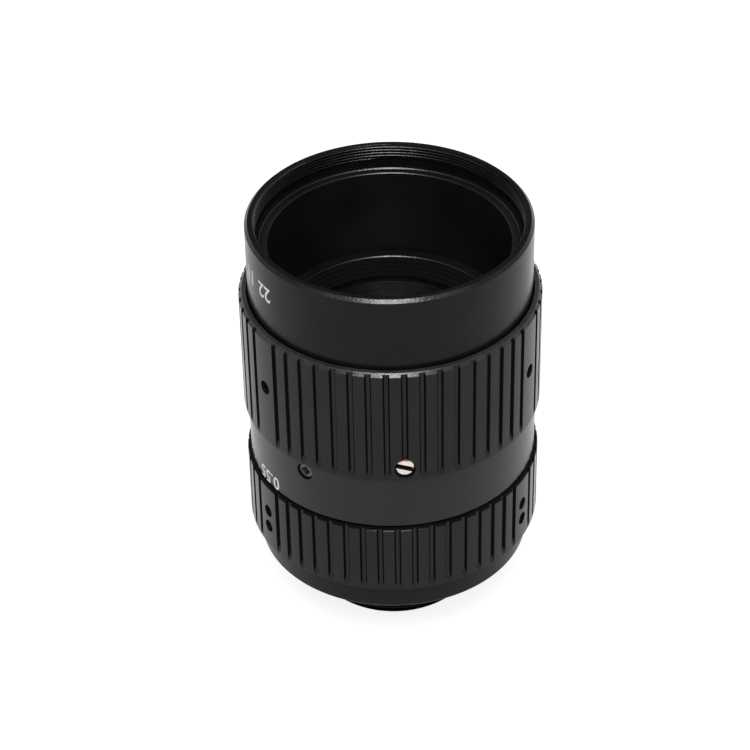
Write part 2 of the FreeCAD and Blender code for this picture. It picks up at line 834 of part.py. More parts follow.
def front_spacer():
    """The ring between the two front glasses."""
    outer = S["front_glass_radius"]
    inner = outer - S["spacer_rim"]
    base = second_glass_top + S["glass_play"]
    nodes.append(turned("front_spacer", [
        (inner, base), (outer, base), (outer, front_glass_base), (inner, front_glass_base),
    ]))


def blade_angles():
    count = int(S["blade_count"].value)
    return [360 * number / count for number in range(count)]


def pivot_radius_place(angle):
    """Where a blade's pivot pin stands, seen from the front, with its angle from +X."""
    turn = math.radians(angle)
    return S["blade_pivot"] * math.cos(turn), S["blade_pivot"] * math.sin(turn)


def iris_base_plate():
    """The plate that carries the blade pivots, with a rim that keeps the cam ring off the blades."""
    outer = S["iris_seat_radius"] - S["thread_play"]
    plate_top = bulkhead_top + S["iris_base_height"]
    rim_top = cam_base - S["pin_gap"]
    plate = turned("iris_base_turned", [
        (S["iris_opening"], bulkhead_top),
        (outer, bulkhead_top),
        (outer, rim_top),
        (outer - S["base_rim"], rim_top),
        (outer - S["base_rim"], plate_top),
        (S["iris_opening"], plate_top),
    ])
    tools = []
    depth = S["pivot_pin_depth"] + S["blade_room"]
    for number, angle in enumerate(blade_angles(), start=1):
        x, y = pivot_radius_place(angle)
        radius = S["blade_pin"] + S["pin_gap"]
        tools.append(cylinder(f"pivot_hole_{number}", radius, depth + EXTRA, (x, y, plate_top - depth)))
    for number, angle in enumerate(base_screw_places(), start=1):
        sizes = {"Radius": S["base_screw_shank"] + S["thread_play"], "Height": outer}
        start = S["base_screw_reach"] - S["face_gap"]
        tools.append(radial("Cylinder", f"base_screw_socket_{number}", sizes, angle, start, base_screw_level()))
    nodes.append(cut("iris_base", plate, tools))


def iris_blades():
    """Each blade lies flat at a level of its own, pivots outside its sweep and is driven by one pin."""
    for number, angle in enumerate(blade_angles(), start=1):
        iris_blade(number, angle)


def iris_blade(number, angle):
    name = f"iris_blade_{number}"
    level = blades_base + S["blade_pitch"] * (number - 1)
    thick = S["blade_thickness"]
    middle = (S["blade_inner"] + S["blade_outer"]) / 2
    half = (S["blade_outer"] - S["blade_inner"]) / 2
    arm = math.radians(S["blade_arm_angle"].value)
    drive = (S["blade_pivot"] + S["blade_arm"] * math.cos(arm), S["blade_arm"] * math.sin(arm))
    tip = math.radians(S["blade_span"].value)
    disc = cylinder(name + "_disc", S["blade_outer"], thick, (0, 0, level), None, S["blade_span"])
    hole = cylinder(name + "_hole", S["blade_inner"], thick + 2 * EXTRA, (0, 0, level - EXTRA))
    crescent = cut(name + "_crescent", disc, [hole])
    tip_place = (middle * math.cos(tip), middle * math.sin(tip), level)
    parts = [
        crescent,
        cylinder(name + "_root", half, thick, (middle, 0, level)),
        cylinder(name + "_tip", half, thick, tip_place),
        cylinder(name + "_pivot_ear", S["blade_ear"], thick, (S["blade_pivot"], 0, level)),
        cylinder(name + "_drive_ear", S["blade_ear"], thick, (drive[0], drive[1], level)),
        ear_web(name, level, thick, arm),
        primitive("Box", name + "_neck", {
            "Length": S["blade_pivot"] - middle, "Width": 2 * S["blade_ear"], "Height": thick,
        }, (middle, -S["blade_ear"], level)),
        cylinder(name + "_pivot_pin", S["blade_pin"], level + thick - pivot_pin_foot(),
                 (S["blade_pivot"], 0, pivot_pin_foot())),
        cylinder(name + "_drive_pin", S["blade_pin"], drive_pin_head() - level, (drive[0], drive[1], level)),
    ]
    blade = joined("MultiFuse", name, parts)
    blade.Placement = FreeCAD.Placement(SAME_PLACE, FreeCAD.Rotation(UP, angle))
    nodes.append(blade)


def pivot_pin_foot():
    return bulkhead_top + S["iris_base_height"] - S["pivot_pin_depth"]


def drive_pin_head():
    return cam_base + S["drive_pin_depth"]


def ear_web(name, level, thick, arm):
    """The straight web between a blade's two pins, as wide as its ears."""
    width = 2 * S["blade_ear"]
    turn = FreeCAD.Rotation(UP, math.degrees(arm))
    side = FreeCAD.Vector(0, -S["blade_ear"].value, 0)
    shift = turn.multVec(side)
    sizes = {"Length": S["blade_arm"], "Width": width, "Height": thick}
    return primitive("Box", name + "_web", sizes, (S["blade_pivot"] + shift.x, shift.y, level), turn)


def drive_pin_path():
    """Three places of a drive pin seen from the cam ring: open, half way and closed."""
    closing = 2 * math.asin((S["blade_inner"].value - S["smallest_stop"].value) / (2 * S["blade_pivot"].value))
    arm = math.radians(S["blade_arm_angle"].value)
    places = []
    for share in (0, 0.5, 1):
        swing = arm + closing * share
        x = S["blade_pivot"].value + S["blade_arm"].value * math.cos(swing)
        y = S["blade_arm"].value * math.sin(swing)
        back = FreeCAD.Rotation(UP, -S["iris_turn"].value * share)
        places.append(back.multVec(FreeCAD.Vector(x, y, 0)))
    return places


def cam_slot(number, angle):
    """An arc-shaped slot through the three places of its drive pin, with round ends."""
    first, middle, last = drive_pin_path()
    arc = Part.Arc(first, middle, last).toShape().Curve
    centre, radius = arc.Center, arc.Radius
    half = (S["blade_pin"] + S["pin_gap"]).value
    depth = S["cam_slot_depth"].value + EXTRA
    start, end = first - centre, last - centre
    span = math.degrees(start.getAngle(end))
    turn = FreeCAD.Rotation(FreeCAD.Vector(1, 0, 0), end)
    outer = Part.makeCylinder(radius + half, depth, SAME_PLACE, UP, span)
    inner = Part.makeCylinder(radius - half, depth, SAME_PLACE, UP, span)
    sector = outer.cut(inner)
    sector.Placement = FreeCAD.Placement(centre, turn)
    ends = [Part.makeCylinder(half, depth, place, UP) for place in (first, last)]
    shape = sector.fuse(ends)
    slot = doc.addObject("Part::Feature", f"cam_slot_{number}")
    slot.Shape = shape
    lift = FreeCAD.Vector(0, 0, cam_base.value - EXTRA)
    slot.Placement = FreeCAD.Placement(lift, FreeCAD.Rotation(UP, angle))
    return slot


def cam_ring():
    """The ring above the blades: its slots move the blade pins, and its rim takes the drive screw."""
    ring = turned("cam_ring_turned", [
        (S["cam_opening"], cam_base),
        (cam_outer, cam_base),
        (cam_outer, cam_top),
        (cam_outer - S["cam_rim"], cam_top),
        (cam_outer - S["cam_rim"], cam_floor_top),
        (S["cam_opening"], cam_floor_top),
    ])
    tools = [cam_slot(number, angle) for number, angle in enumerate(blade_angles(), start=1)]
    sizes = {"Radius": S["dog_point"] + S["thread_play"], "Height": cam_outer}
    start = cam_outer - S["cam_rim"] - EXTRA
    tools.append(radial("Cylinder", "drive_point_hole", sizes, S["drive_screw_angle"], start, drive_screw_level))
    nodes.append(cut("cam_ring", ring, tools))


def drive_screw():
    """The slotted screw in the iris ring, with a long point that reaches the cam ring."""
    angle = S["drive_screw_angle"]
    head_out = S["iris_grip_radius"] - S["groove_depth"] + S["drive_screw_proud"]
    thread = {"Radius": S["drive_screw_radius"], "Height": head_out - iris_ring_bore}
    point = {"Radius": S["dog_point"], "Height": iris_ring_bore - S["dog_point_reach"]}
    parts = [
        radial("Cylinder", "drive_screw_thread", thread, angle, iris_ring_bore, drive_screw_level),
        radial("Cylinder", "drive_screw_point", point, angle, S["dog_point_reach"], drive_screw_level),
    ]
    screw = joined("MultiFuse", "drive_screw_blank", parts)
    length = 2 * S["drive_screw_radius"] + EXTRA
    slot = recess_bar("drive_screw_slot", length, S["drive_screw_slot"], S["drive_screw_slot_depth"], angle,
                      head_out, drive_screw_level, -S["drive_screw_slot_tilt"])
    nodes.append(cut("iris_drive_screw", screw, [slot]))


def set_screws(label, land_angle, heights, hole, seat, surface):
    """Socket set screws, one in each hole of a grip, their points on the ring inside."""
    screws = []
    top = surface - S["set_screw_sink"]
    radius = hole - S["set_screw_gap"]
    count = int(S["lands"].value)
    for land in range(count):
        angle = land_angle.value + 360 * land / count
        for row, height in enumerate(heights, start=1):
            name = f"{label}_{land + 1}_{row}"
            shank = radial("Cylinder", name + "_shank", {"Radius": radius, "Height": top - seat}, angle, seat, height)
            sizes = {"Polygon": 6, "Circumradius": S["hex_socket"], "Height": S["hex_socket_depth"] + EXTRA}
            socket = radial("Prism", name + "_socket", sizes, angle, top - S["hex_socket_depth"], height)
            screws.append(cut(name, shank, [socket]))
    nodes.append(joined("Compound", label, screws))


def all_set_screws():
    low = focus_base + S["focus_screw_low"]
    heights = [low, low + S["focus_screw_spacing"]]
    seat = helicoid_outer + S["thread_play"]
    set_screws("focus_set_screws", S["focus_land_angle"], heights, S["focus_screw_hole"], seat,
               S["focus_grip_radius"])
    height = iris_base + S["iris_screw_height"]
    seat = iris_ring_outer + S["thread_play"]
    set_screws("iris_set_screws", S["iris_land_angle"], [height], S["iris_screw_hole"], seat,
               S["iris_grip_radius"])


def base_screws():
    """Cross-head screws, sunk in the band, that hold the iris base."""
    screws = []
    head_out = S["band_radius"] - S["base_screw_sink"]
    head_in = head_out - S["base_screw_head_height"]
    level = base_screw_level()
    for number, angle in enumerate(base_screw_places(), start=1):
        name = f"base_screw_{number}"
        head = {"Radius": S["base_screw_head"], "Height": S["base_screw_head_height"]}
        shank = {"Radius": S["base_screw_shank"], "Height": head_in - S["base_screw_reach"]}
        blank = joined("MultiFuse", name + "_blank", [
            radial("Cylinder", name + "_head", head, angle, head_in, level),
            radial("Cylinder", name + "_shank", shank, angle, S["base_screw_reach"], level),
        ])
        arms = []
        for arm, tilt in enumerate((0, 90), start=1):
            arms.append(recess_bar(f"{name}_recess_{arm}", S["cross_recess_length"], S["cross_recess"],
                                   S["cross_recess_depth"], angle, head_out, level, tilt))
        screws.append(cut(name, blank, arms))
    nodes.append(joined("Compound", "iris_base_screws", screws))


rear_top = bulkhead_top
rear_nose_top = bore_floor + S["rear_floor_room"]
rear_foot = rear_nose_top - S["rear_nose_height"]
rear_glass_base = rear_foot + S["rear_keeper_height"]
rear_glass_top = rear_glass_base + S["rear_glass_edge"]
rear_ledge_bore = S["rear_glass_radius"] - S["rear_ledge"]
rear_ledge_base = (rear_glass_top + S["glass_play"]
                   + bulge(S["rear_glass_front_curve"], rear_ledge_bore, S["rear_glass_radius"]))
rear_keeper_bore = S["rear_glass_radius"] - S["rear_keeper_overlap"]
rear_keeper_top = (rear_glass_base - S["glass_play"]
                   - bulge(S["rear_glass_back_curve"], rear_keeper_bore, S["rear_glass_radius"]))
doublet_keeper_base = rear_top - S["face_gap"] - S["doublet_keeper_height"]
doublet_edge_base = doublet_keeper_base - S["doublet_edge"]
doublet_ledge_bore = S["doublet_radius"] - S["doublet_ledge"]
doublet_ledge = (doublet_edge_base - S["glass_play"]
                 - bulge(S["doublet_back_curve"], doublet_ledge_bore, S["doublet_radius"]))


def rear_cell():
    """The rear tube: screwed into the bulkhead, its nose reaches down through the mount."""
    rear_seat = S["rear_glass_radius"] + S["glass_play"]
    ledge_top = rear_ledge_base + S["rear_ledge_height"]
    doublet_seat = S["doublet_radius"] + S["glass_play"]
    neck = S["bulkhead_bore"] - S["rear_thread_play"]
    flange_top = bulkhead_base
    nodes.append(turned("rear_cell", [
        (rear_seat, rear_foot),
        (S["rear_nose_radius"], rear_foot),
        (S["rear_nose_radius"], rear_nose_top),
        (S["rear_body_radius"], rear_nose_top),
        (S["rear_body_radius"], flange_top - S["rear_flange"]),
        (S["rear_flange_radius"], flange_top - S["rear_flange"]),
        (S["rear_flange_radius"], flange_top),
        (neck, flange_top),
        (neck, rear_top - S["face_gap"]),
        (doublet_seat, rear_top - S["face_gap"]),
        (doublet_seat, doublet_ledge),
        (doublet_ledge_bore, doublet_ledge),
        (doublet_ledge_bore, rear_nose_top + S["rear_ledge_height"]),
        (S["rear_tube_bore"], rear_nose_top),
        (S["rear_tube_bore"], ledge_top),
        (rear_ledge_bore, ledge_top),
        (rear_ledge_bore, rear_ledge_base),
        (rear_seat, rear_ledge_base),
    ]))


def rear_glass():
    """Rear element, convex on both sides."""
    radius = S["rear_glass_radius"]
    blank = cylinder("rear_glass_blank", radius, S["rear_glass_edge"] * 3,
                     (0, 0, rear_glass_base - S["rear_glass_edge"]))
    front = ball("rear_glass_front", S["rear_glass_front_curve"],
                 rear_glass_top - half_chord(S["rear_glass_front_curve"], radius))
    back = ball("rear_glass_back", S["rear_glass_back_curve"],
                rear_glass_base + half_chord(S["rear_glass_back_curve"], radius))
    nodes.append(joined("MultiCommon", "rear_glass", [blank, front, back]))


def rear_keeper():
    """The retaining ring behind the rear glass."""
    outer = S["rear_glass_radius"] + S["glass_play"] - S["thread_play"]
    ring = turned("rear_keeper_turned", [
        (rear_keeper_bore, rear_foot),
        (outer, rear_foot),
        (outer, rear_keeper_top),
        (rear_keeper_bore, rear_keeper_top),
    ])
    notches = spanner_notches("rear_keeper", outer, rear_keeper_bore, rear_foot - EXTRA)
    nodes.append(cut("rear_keeper", ring, notches))


def rear_doublet():
    """The thick element behind the iris: hollow towards it, convex behind."""
    radius = S["doublet_radius"]
    blank = cylinder("doublet_blank", radius, S["doublet_edge"] * 3,
                     (0, 0, doublet_keeper_base - S["doublet_edge"] * 3))
    back = ball("doublet_back", S["doublet_back_curve"],
                doublet_edge_base + half_chord(S["doublet_back_curve"], radius))
    lens = joined("MultiCommon", "doublet_domed", [blank, back])
    hollow = ball("doublet_hollow_ball", S["doublet_hollow"],
                  doublet_keeper_base + half_chord(S["doublet_hollow"], S["doublet_hollow_mouth"]))
    nodes.append(cut("rear_doublet", lens, [hollow]))


def doublet_keeper():
    """The retaining ring over the rear doublet, just behind the iris."""
    outer = S["doublet_radius"] + S["glass_play"] - S["thread_play"]
    base = doublet_keeper_base + S["glass_play"]
    top = rear_top - S["face_gap"]
    nodes.append(turned("doublet_keeper", [
        (doublet_ledge_bore, base), (outer, base), (outer, top), (doublet_ledge_bore, top),
    ]))


def check(thing):
    if any(word in thing.State for word in ("Invalid", "Error")):
        raise RuntimeError(f"{thing.Label} failed: {thing.State}")


def write(thing):
    shape = thing.Shape
    if shape.isNull() or not shape.isValid() or not shape.Solids:
        raise RuntimeError(thing.Label + " has no valid solid")
    shape.exportStep(os.path.join("parts", thing.Label + ".step"))


def main():
    mount_barrel()
    focus_keeper()
    helicoid_ring()
    focus_grip()
    main_barrel()
    guide_pins()
    iris_sleeve()
    iris_grip()
    front_barrel()
    front_cell()
    front_keeper()
    front_glass()
    front_spacer()
    second_glass()
    iris_base_plate()
    iris_blades()
    cam_ring()
    drive_screw()
    all_set_screws()
    base_screws()
    rear_cell()
    rear_glass()
    rear_keeper()
    rear_doublet()
    doublet_keeper()
    doc.recompute()
    for thing in doc.Objects:
        check(thing)
    os.makedirs("parts", exist_ok=True)
    for thing in nodes:
        write(thing)


main()
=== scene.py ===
import math

import bmesh
import bpy
from mathutils import Matrix, Vector


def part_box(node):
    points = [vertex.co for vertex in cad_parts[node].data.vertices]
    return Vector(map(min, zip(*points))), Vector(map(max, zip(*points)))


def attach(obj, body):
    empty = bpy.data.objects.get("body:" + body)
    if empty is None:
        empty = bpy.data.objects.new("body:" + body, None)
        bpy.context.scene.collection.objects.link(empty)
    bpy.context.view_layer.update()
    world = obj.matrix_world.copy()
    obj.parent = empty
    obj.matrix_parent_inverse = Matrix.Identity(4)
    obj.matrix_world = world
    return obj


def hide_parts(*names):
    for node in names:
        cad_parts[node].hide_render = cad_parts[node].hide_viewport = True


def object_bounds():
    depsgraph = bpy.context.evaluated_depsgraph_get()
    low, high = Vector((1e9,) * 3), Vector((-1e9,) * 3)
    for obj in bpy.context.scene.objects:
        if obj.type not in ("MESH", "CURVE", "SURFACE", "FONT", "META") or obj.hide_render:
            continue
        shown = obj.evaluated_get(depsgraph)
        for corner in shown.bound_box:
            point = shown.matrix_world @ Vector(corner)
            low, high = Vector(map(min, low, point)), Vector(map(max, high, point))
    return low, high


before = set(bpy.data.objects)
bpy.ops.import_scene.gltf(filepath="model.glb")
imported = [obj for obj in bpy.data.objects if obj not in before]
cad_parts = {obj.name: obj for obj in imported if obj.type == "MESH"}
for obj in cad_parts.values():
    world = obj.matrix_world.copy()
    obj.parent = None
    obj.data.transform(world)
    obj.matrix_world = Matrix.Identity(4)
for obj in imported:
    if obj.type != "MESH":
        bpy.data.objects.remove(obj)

# A machine vision lens standing on its camera thread. Lengths in this script are millimetres and
# angles degrees, and each mesh is brought to metres when it is finished. Angles round the axis start
# at -Y, the side with the bright iris screw, and grow towards +X, as in the part's source.

cad_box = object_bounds()

MM = 0.001
FULL_TURN = math.tau
ROUND_STEPS = 240  # steps of a full turn on the large turned pieces
SMALL_STEPS = 48  # steps of a full turn on screws and holes
WELD = 0.0005  # points nearer than this are one point


# Sizes that the part's source has too
RIM = 63.3  # the lens's front end
THREAD_CREST = 19.98  # the filter thread's inner radius
THREAD_ROOT = 20.25
FRONT_RADIUS = 21.5
BAND_RADIUS = 22.2
IRIS_GRIP_RADIUS = 22.9
FOCUS_GRIP_RADIUS = 22.75
LANDS = 3  # plain lands on each grip, guide slots and cross-head screws
GROOVES = 17  # from one land to the next
PITCH_ANGLE = 20 / 3  # from one groove to the next
GROOVE_WIDTH = 1.0
GROOVE_DEPTH = 0.4
IRIS_LAND_ANGLE = -55.5  # the middle of the first land
FOCUS_LAND_ANGLE = -58.7
SCREW_ANGLE = 4.5  # the iris screw
BASE_SCREW_ANGLE = -36.8  # the first cross-head screw

# Details that only the scene has
GROOVE_FOOT = 0.22  # from a grip's lower face up to the end of its grooves
GROOVE_FLOOR = 0.52  # a groove floor's width as a share of its mouth
FOOT_RAMP = 0.9  # the length over which a groove runs out at its foot
LIP_CUT = 0.34  # how far in along a wide top edge the grooves reach
SCREW_LEVEL = 33.9  # a tenth lower than the solid
SCREW_TILT = -19  # how far the iris screw's slot is turned


def level(node, end):
    """The lowest (end 0) or highest (end 1) level of a CAD node, in millimetres."""
    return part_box(node)[end].z / MM


def outward_place(angle, radius, height, tilt=0.0):
    """Local x runs round the lens, local y up and local z outwards, at a point on the lens."""
    a = math.radians(angle)
    round_way = Vector((math.cos(a), math.sin(a), 0))
    out = Vector((math.sin(a), -math.cos(a), 0))
    up = Vector((0, 0, 1))
    place = Matrix((round_way, up, out)).transposed().to_4x4()
    place.translation = out * radius + up * height
    return place @ Matrix.Rotation(math.radians(tilt), 4, "Z")


def finished(name, bm, body, finishes, stands_for=()):
    """Brings a bmesh to metres and makes it a piece that rides on a body."""
    bmesh.ops.scale(bm, vec=(MM, MM, MM), verts=bm.verts)
    mesh = bpy.data.meshes.new(name)
    bm.to_mesh(mesh)
    bm.free()
    return piece_of(name, mesh, body, finishes, stands_for)


def piece_of(name, mesh, body, finishes, stands_for=()):
    """Makes a mesh a piece with its finishes, riding on a body."""
    piece = bpy.data.objects.new(name, mesh)
    bpy.context.scene.collection.objects.link(piece)
    for material in finishes:
        mesh.materials.append(material)
    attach(piece, body)
    if stands_for:
        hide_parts(*stands_for)
    return piece


def smooth_shading(mesh, sharp=30):
    """Shades a mesh smooth, apart from its edges that are sharper than an angle."""
    for face in mesh.polygons:
        face.use_smooth = True
    mesh.set_sharp_from_angle(angle=math.radians(sharp))


def round_normals(mesh):
    """Shades turned faces as truly round: each corner takes the normal of the turned surface.

    Faces that aren't part of a turned surface, such as a groove's sides, keep the smooth shading.
    """
    smooth_shading(mesh)
    normals = [corner.vector.copy() for corner in mesh.corner_normals]
    near = math.cos(math.radians(4.5))
    for face in mesh.polygons:
        flat = face.normal
        slope = math.hypot(flat.x, flat.y)
        for corner in face.loop_indices:
            point = mesh.vertices[mesh.loops[corner].vertex_index].co
            out = Vector((point.x, point.y, 0))
            if out.length < MM:
                continue
            out.normalize()
            side = 1 if flat.dot(out) >= 0 else -1
            turned = Vector((out.x * slope * side, out.y * slope * side, flat.z))
            if turned.dot(flat) > near:
                normals[corner] = turned.normalized()
    mesh.normals_split_custom_set(normals)


def wire(bm, points, closed=True):
    """Points (radius, height) in the plane of angle nought, joined by edges."""
    verts = [bm.verts.new((0, -r, z)) for r, z in points]
    ends = verts[1:] + ([verts[0]] if closed else [])
    edges = [bm.edges.new(pair) for pair in zip(verts, ends)]
    return verts + edges


def spin(bm, geometry, angle=FULL_TURN, steps=ROUND_STEPS, merge=True, rise=0.0):
    """Turns points and edges round the lens's axis, with a rise at each step, and gives the last ones."""
    return bmesh.ops.spin(bm, geom=geometry, cent=(0, 0, 0), axis=(0, 0, 1), dvec=(0, 0, rise),
                          angle=angle, steps=steps, use_merge=merge, use_normal_flip=False,
                          use_duplicate=False)["geom_last"]


def weld(bm):
    """Merges doubled points, drops what has no area and turns all faces outwards."""
    bmesh.ops.remove_doubles(bm, verts=bm.verts, dist=WELD)
    bmesh.ops.dissolve_degenerate(bm, dist=WELD / 2, edges=bm.edges)
    bmesh.ops.recalc_face_normals(bm, faces=bm.faces)


def soften(bm, width, sharper_than, below):
    """Breaks the edges below a level that are sharper than an angle, as a turner does."""
    limit = math.radians(sharper_than)
    edges = [e for e in bm.edges if len(e.link_faces) == 2 and e.calc_face_angle() > limit]
    edges = [e for e in edges if all(v.co.z < below for v in e.verts)]
    bmesh.ops.bevel(bm, geom=edges, offset=width, offset_type="OFFSET", segments=1, profile=0.5,
                    affect="EDGES", clamp_overlap=True, material=-1)


def edges_with_painted_light(bm, above, top_too=False):
    """Gives the second finish, shinier and painted lighter, to the broken edges above a level, and to the top
    face where asked. The lighter colour is painted light.

    An edge broken at 45 degrees has a normal whose z is 0.71, and a top face one whose z is 1.
    """
    steepest = 1.1 if top_too else 0.84
    for face in bm.faces:
        face.normal_update()
        if 0.5 < face.normal.z < steepest and face.calc_center_median().z > above:
            face.material_index = 1


def drawn_out(bm, faces, keep_start=False):
    """Extrudes faces and gives the new points and faces.

    The faces they started from are taken away, unless they close the start of a new body.
    """
    new = bmesh.ops.extrude_face_region(bm, geom=faces)["geom"]
    if not keep_start:
        bmesh.ops.delete(bm, geom=faces, context="FACES")
    points = [g for g in new if isinstance(g, bmesh.types.BMVert)]
    return points, [g for g in new if isinstance(g, bmesh.types.BMFace)]


def helix(bm, crest, root, pitch, low, high, shape_at):
    """A turned thread between two levels. It runs out into the surface that shape_at gives.

    The chain of crests and roots rises one pitch in a full turn. Each crest has one corner broken.
    Points past the two levels fold onto them, so the thread starts and ends there and its seam closes.
    """
    flat = 0.2 * pitch
    flank = 0.3 * pitch
    chain = []
    height = low - pitch
    while height < high + pitch / 2:
        chain += [(root, height), (root, height + flat)]
        crest_top = height + 2 * flat + flank
        chain += [(crest, height + flat + flank), (crest, crest_top - 0.05 * pitch),
                  (crest + 0.2 * (root - crest), crest_top + 0.06 * pitch)]
        height += pitch
    turned_before = set(bm.verts)
    steps = ROUND_STEPS
    spin(bm, wire(bm, chain, closed=False), steps=steps, merge=False, rise=pitch / steps)
    for vert in [v for v in bm.verts if v not in turned_before]:
        vert.co.z = min(max(vert.co.z, low), high)
        old = math.hypot(vert.co.x, vert.co.y)
        new = shape_at(old, vert.co.z)
        vert.co.x *= new / old
        vert.co.y *= new / old


def cutter_object(shapes):
    """One object of several closed cutting shapes, each given as kind, sizes and place.

    A round one has a radius, a depth and a flare at its mouth, and a block its three sides.
    """
    bm = bmesh.new()
    for kind, sizes, place in shapes:
        if kind == "round":
            radius, depth, flare = sizes
            tool = bmesh.ops.create_circle(bm, cap_ends=True, segments=SMALL_STEPS, radius=radius)["verts"]
            bmesh.ops.translate(bm, vec=(0, 0, -depth), verts=tool)
            faces = list(tool[0].link_faces)
            clear = 1.0  # how far the cutter stands out of the piece
            steps = ((depth - flare, radius), (flare, radius + flare), (clear, radius + flare + clear))
            for number, (rise, reach) in enumerate(steps):
                points, faces = drawn_out(bm, faces, keep_start=number == 0)
                grow = reach / points[0].co.to_2d().length
                bmesh.ops.translate(bm, vec=(0, 0, rise), verts=points)
                bmesh.ops.scale(bm, vec=(grow, grow, 1), verts=points)
                tool += points
            bmesh.ops.transform(bm, matrix=place, verts=tool)
        else:
            block = bmesh.ops.create_cube(bm, size=1.0)["verts"]
            bmesh.ops.scale(bm, vec=sizes, verts=block)
            bmesh.ops.transform(bm, matrix=place, verts=block)
    bmesh.ops.recalc_face_normals(bm, faces=bm.faces)
    mesh = bpy.data.meshes.new("cutter")
    bm.to_mesh(mesh)
    bm.free()
    cutter = bpy.data.objects.new("cutter", mesh)
    bpy.context.scene.collection.objects.link(cutter)
    return cutter


def cut_by(bm, shapes):
    """Cuts shapes out of a closed bmesh and gives back the result."""
    mesh = bpy.data.meshes.new("blank")
    bm.to_mesh(mesh)
    bm.free()
    blank = bpy.data.objects.new("blank", mesh)
    bpy.context.scene.collection.objects.link(blank)
    cutter = cutter_object(shapes)
    knife = blank.modifiers.new("cut", "BOOLEAN")
    knife.operation = "DIFFERENCE"
    knife.solver = "EXACT"
    knife.object = cutter
    graph = bpy.context.evaluated_depsgraph_get()
    done = bmesh.new()
    done.from_object(blank, graph)
    for spare in (blank, cutter):
        spare_mesh = spare.data
        bpy.data.objects.remove(spare)
        bpy.data.meshes.remove(spare_mesh)
    return done


# Finishes

def linear(code):
    """An sRGB hex colour as linear red, green, blue and alpha."""
    parts = [int(code[i:i + 2], 16) / 255 for i in (1, 3, 5)]
    return [c / 12.92 if c <= 0.04045 else ((c + 0.055) / 1.055) ** 2.4 for c in parts] + [1.0]


def per_mm(size):
    """The texture scale at which a pattern's grain has this size in millimetres."""
    return 1 / (size * MM)


def add(tree, kind, settings=None, links=None):
    """Adds a node, sets its sockets or properties, and links sockets: name or number: (node, output)."""
    node = tree.nodes.new(kind)
    for key, value in (settings or {}).items():
        if isinstance(key, int) or key in node.inputs:
            node.inputs[key].default_value = value
        else:
            setattr(node, key, value)
    for key, (source, output) in (links or {}).items():
        tree.links.new(source.outputs[output], node.inputs[key])
    return node


def finish(name, shader_settings):
    """A new material with its shader, and its object coordinates for patterns."""
    material = bpy.data.materials.new(name)
    material.use_nodes = True
    tree = material.node_tree
    tree.nodes.clear()
    shader = add(tree, "ShaderNodeBsdfPrincipled", shader_settings)
    add(tree, "ShaderNodeOutputMaterial", links={"Surface": (shader, "BSDF")})
    place = add(tree, "ShaderNodeTexCoord")
    return material, tree, shader, place


def speckle(tree, place, size, detail=3.0, stretch=(1, 1, 1)):
    """Noise with grains of a size in millimetres."""
    moved = add(tree, "ShaderNodeMapping", {"Scale": stretch}, {"Vector": (place, "Object")})
    return add(tree, "ShaderNodeTexNoise", {"Scale": per_mm(size), "Detail": detail},
               {"Vector": (moved, "Vector")})


def range_of(tree, source, low, high, start=0.3, end=0.7):
    """Maps a pattern's values from start to end onto low to high."""
    return add(tree, "ShaderNodeMapRange",
               {"From Min": start, "From Max": end, "To Min": low, "To Max": high},
               {"Value": source})


def blend(tree, source, first, second):
    """A colour between two, by a pattern."""
    share = range_of(tree, source, 0.0, 1.0)
    return add(tree, "ShaderNodeMix", {"data_type": "RGBA", 6: linear(first), 7: linear(second)},
               {0: (share, "Result")})


def black_anodised(name, colours, rough, sheen, grain, grain_height, turning):
    """Black anodised aluminium: a dyed oxide skin over a blasted or turned surface.

    The skin is a clear dark layer, so the surface is nearly black seen straight on and pale with
    reflections at a low angle. The grain breaks up highlights on the edges, and handling leaves
    patches that are a little smoother. The grain's size and height and the spacing of the turning
    marks are millimetres, and a spacing of nought is no marks.
    """
    material, tree, shader, place = finish(name, {"Metallic": 0.0, "IOR": 1.5, "Specular IOR Level": sheen})
    patches = speckle(tree, place, 7.0)
    colour = blend(tree, (patches, "Fac"), *colours)
    tree.links.new(colour.outputs[2], shader.inputs["Base Color"])
    fine = speckle(tree, place, grain, detail=2.0)
    low, high = rough
    roughness = range_of(tree, (patches, "Fac"), low, high)
    uneven = range_of(tree, (fine, "Fac"), -0.05, 0.05)
    total = add(tree, "ShaderNodeMath", {"operation": "ADD"},
                {0: (roughness, "Result"), 1: (uneven, "Result")})
    tree.links.new(total.outputs[0], shader.inputs["Roughness"])
    bump = add(tree, "ShaderNodeBump", {"Strength": 1.0, "Distance": grain_height * MM},
               {"Height": (fine, "Fac")})
    if turning:
        # Wave bands repeat every 0.314 of a unit at scale 1
        lines = add(tree, "ShaderNodeTexWave",
                    {"wave_type": "BANDS", "bands_direction": "Z", "Scale": 0.314 * per_mm(turning),
                     "Distortion": 0.6, "Detail": 1.0, "Detail Scale": 2.0},
                    {"Vector": (place, "Object")})
        bump = add(tree, "ShaderNodeBump", {"Strength": 1.0, "Distance": 0.0012 * MM},
                   {"Height": (lines, "Fac"), "Normal": (bump, "Normal")})
    tree.links.new(bump.outputs["Normal"], shader.inputs["Normal"])
    return material


# Fine blasted and deep black anodised: the barrels at both ends. Grit marks are about 0.05 mm and are
# drawn at 0.16 mm so that they show.
DEEP = black_anodised("deep_black_anodised_aluminium", ("#0f0f10", "#141415"), (0.20, 0.28),
                      0.12, 0.16, 0.003, 0)
# The same finish, greyer and shinier: the main barrel with its plain band. The greyer colour is painted
# light, standing in for the brighter reflections that the band shows.
SATIN = black_anodised("satin_black_anodised_aluminium", ("#151516", "#1a1a1c"), (0.20, 0.28),
                       0.24, 0.16, 0.003, 0)
# Turned, milled and anodised: the two grips, a little greyer than the end barrels. The greyer colour is
# painted light, as on the band.
MILLED = black_anodised("milled_black_anodised_aluminium", ("#131314", "#19191a"), (0.17, 0.26),
                        0.17, 0.18, 0.003, 0)
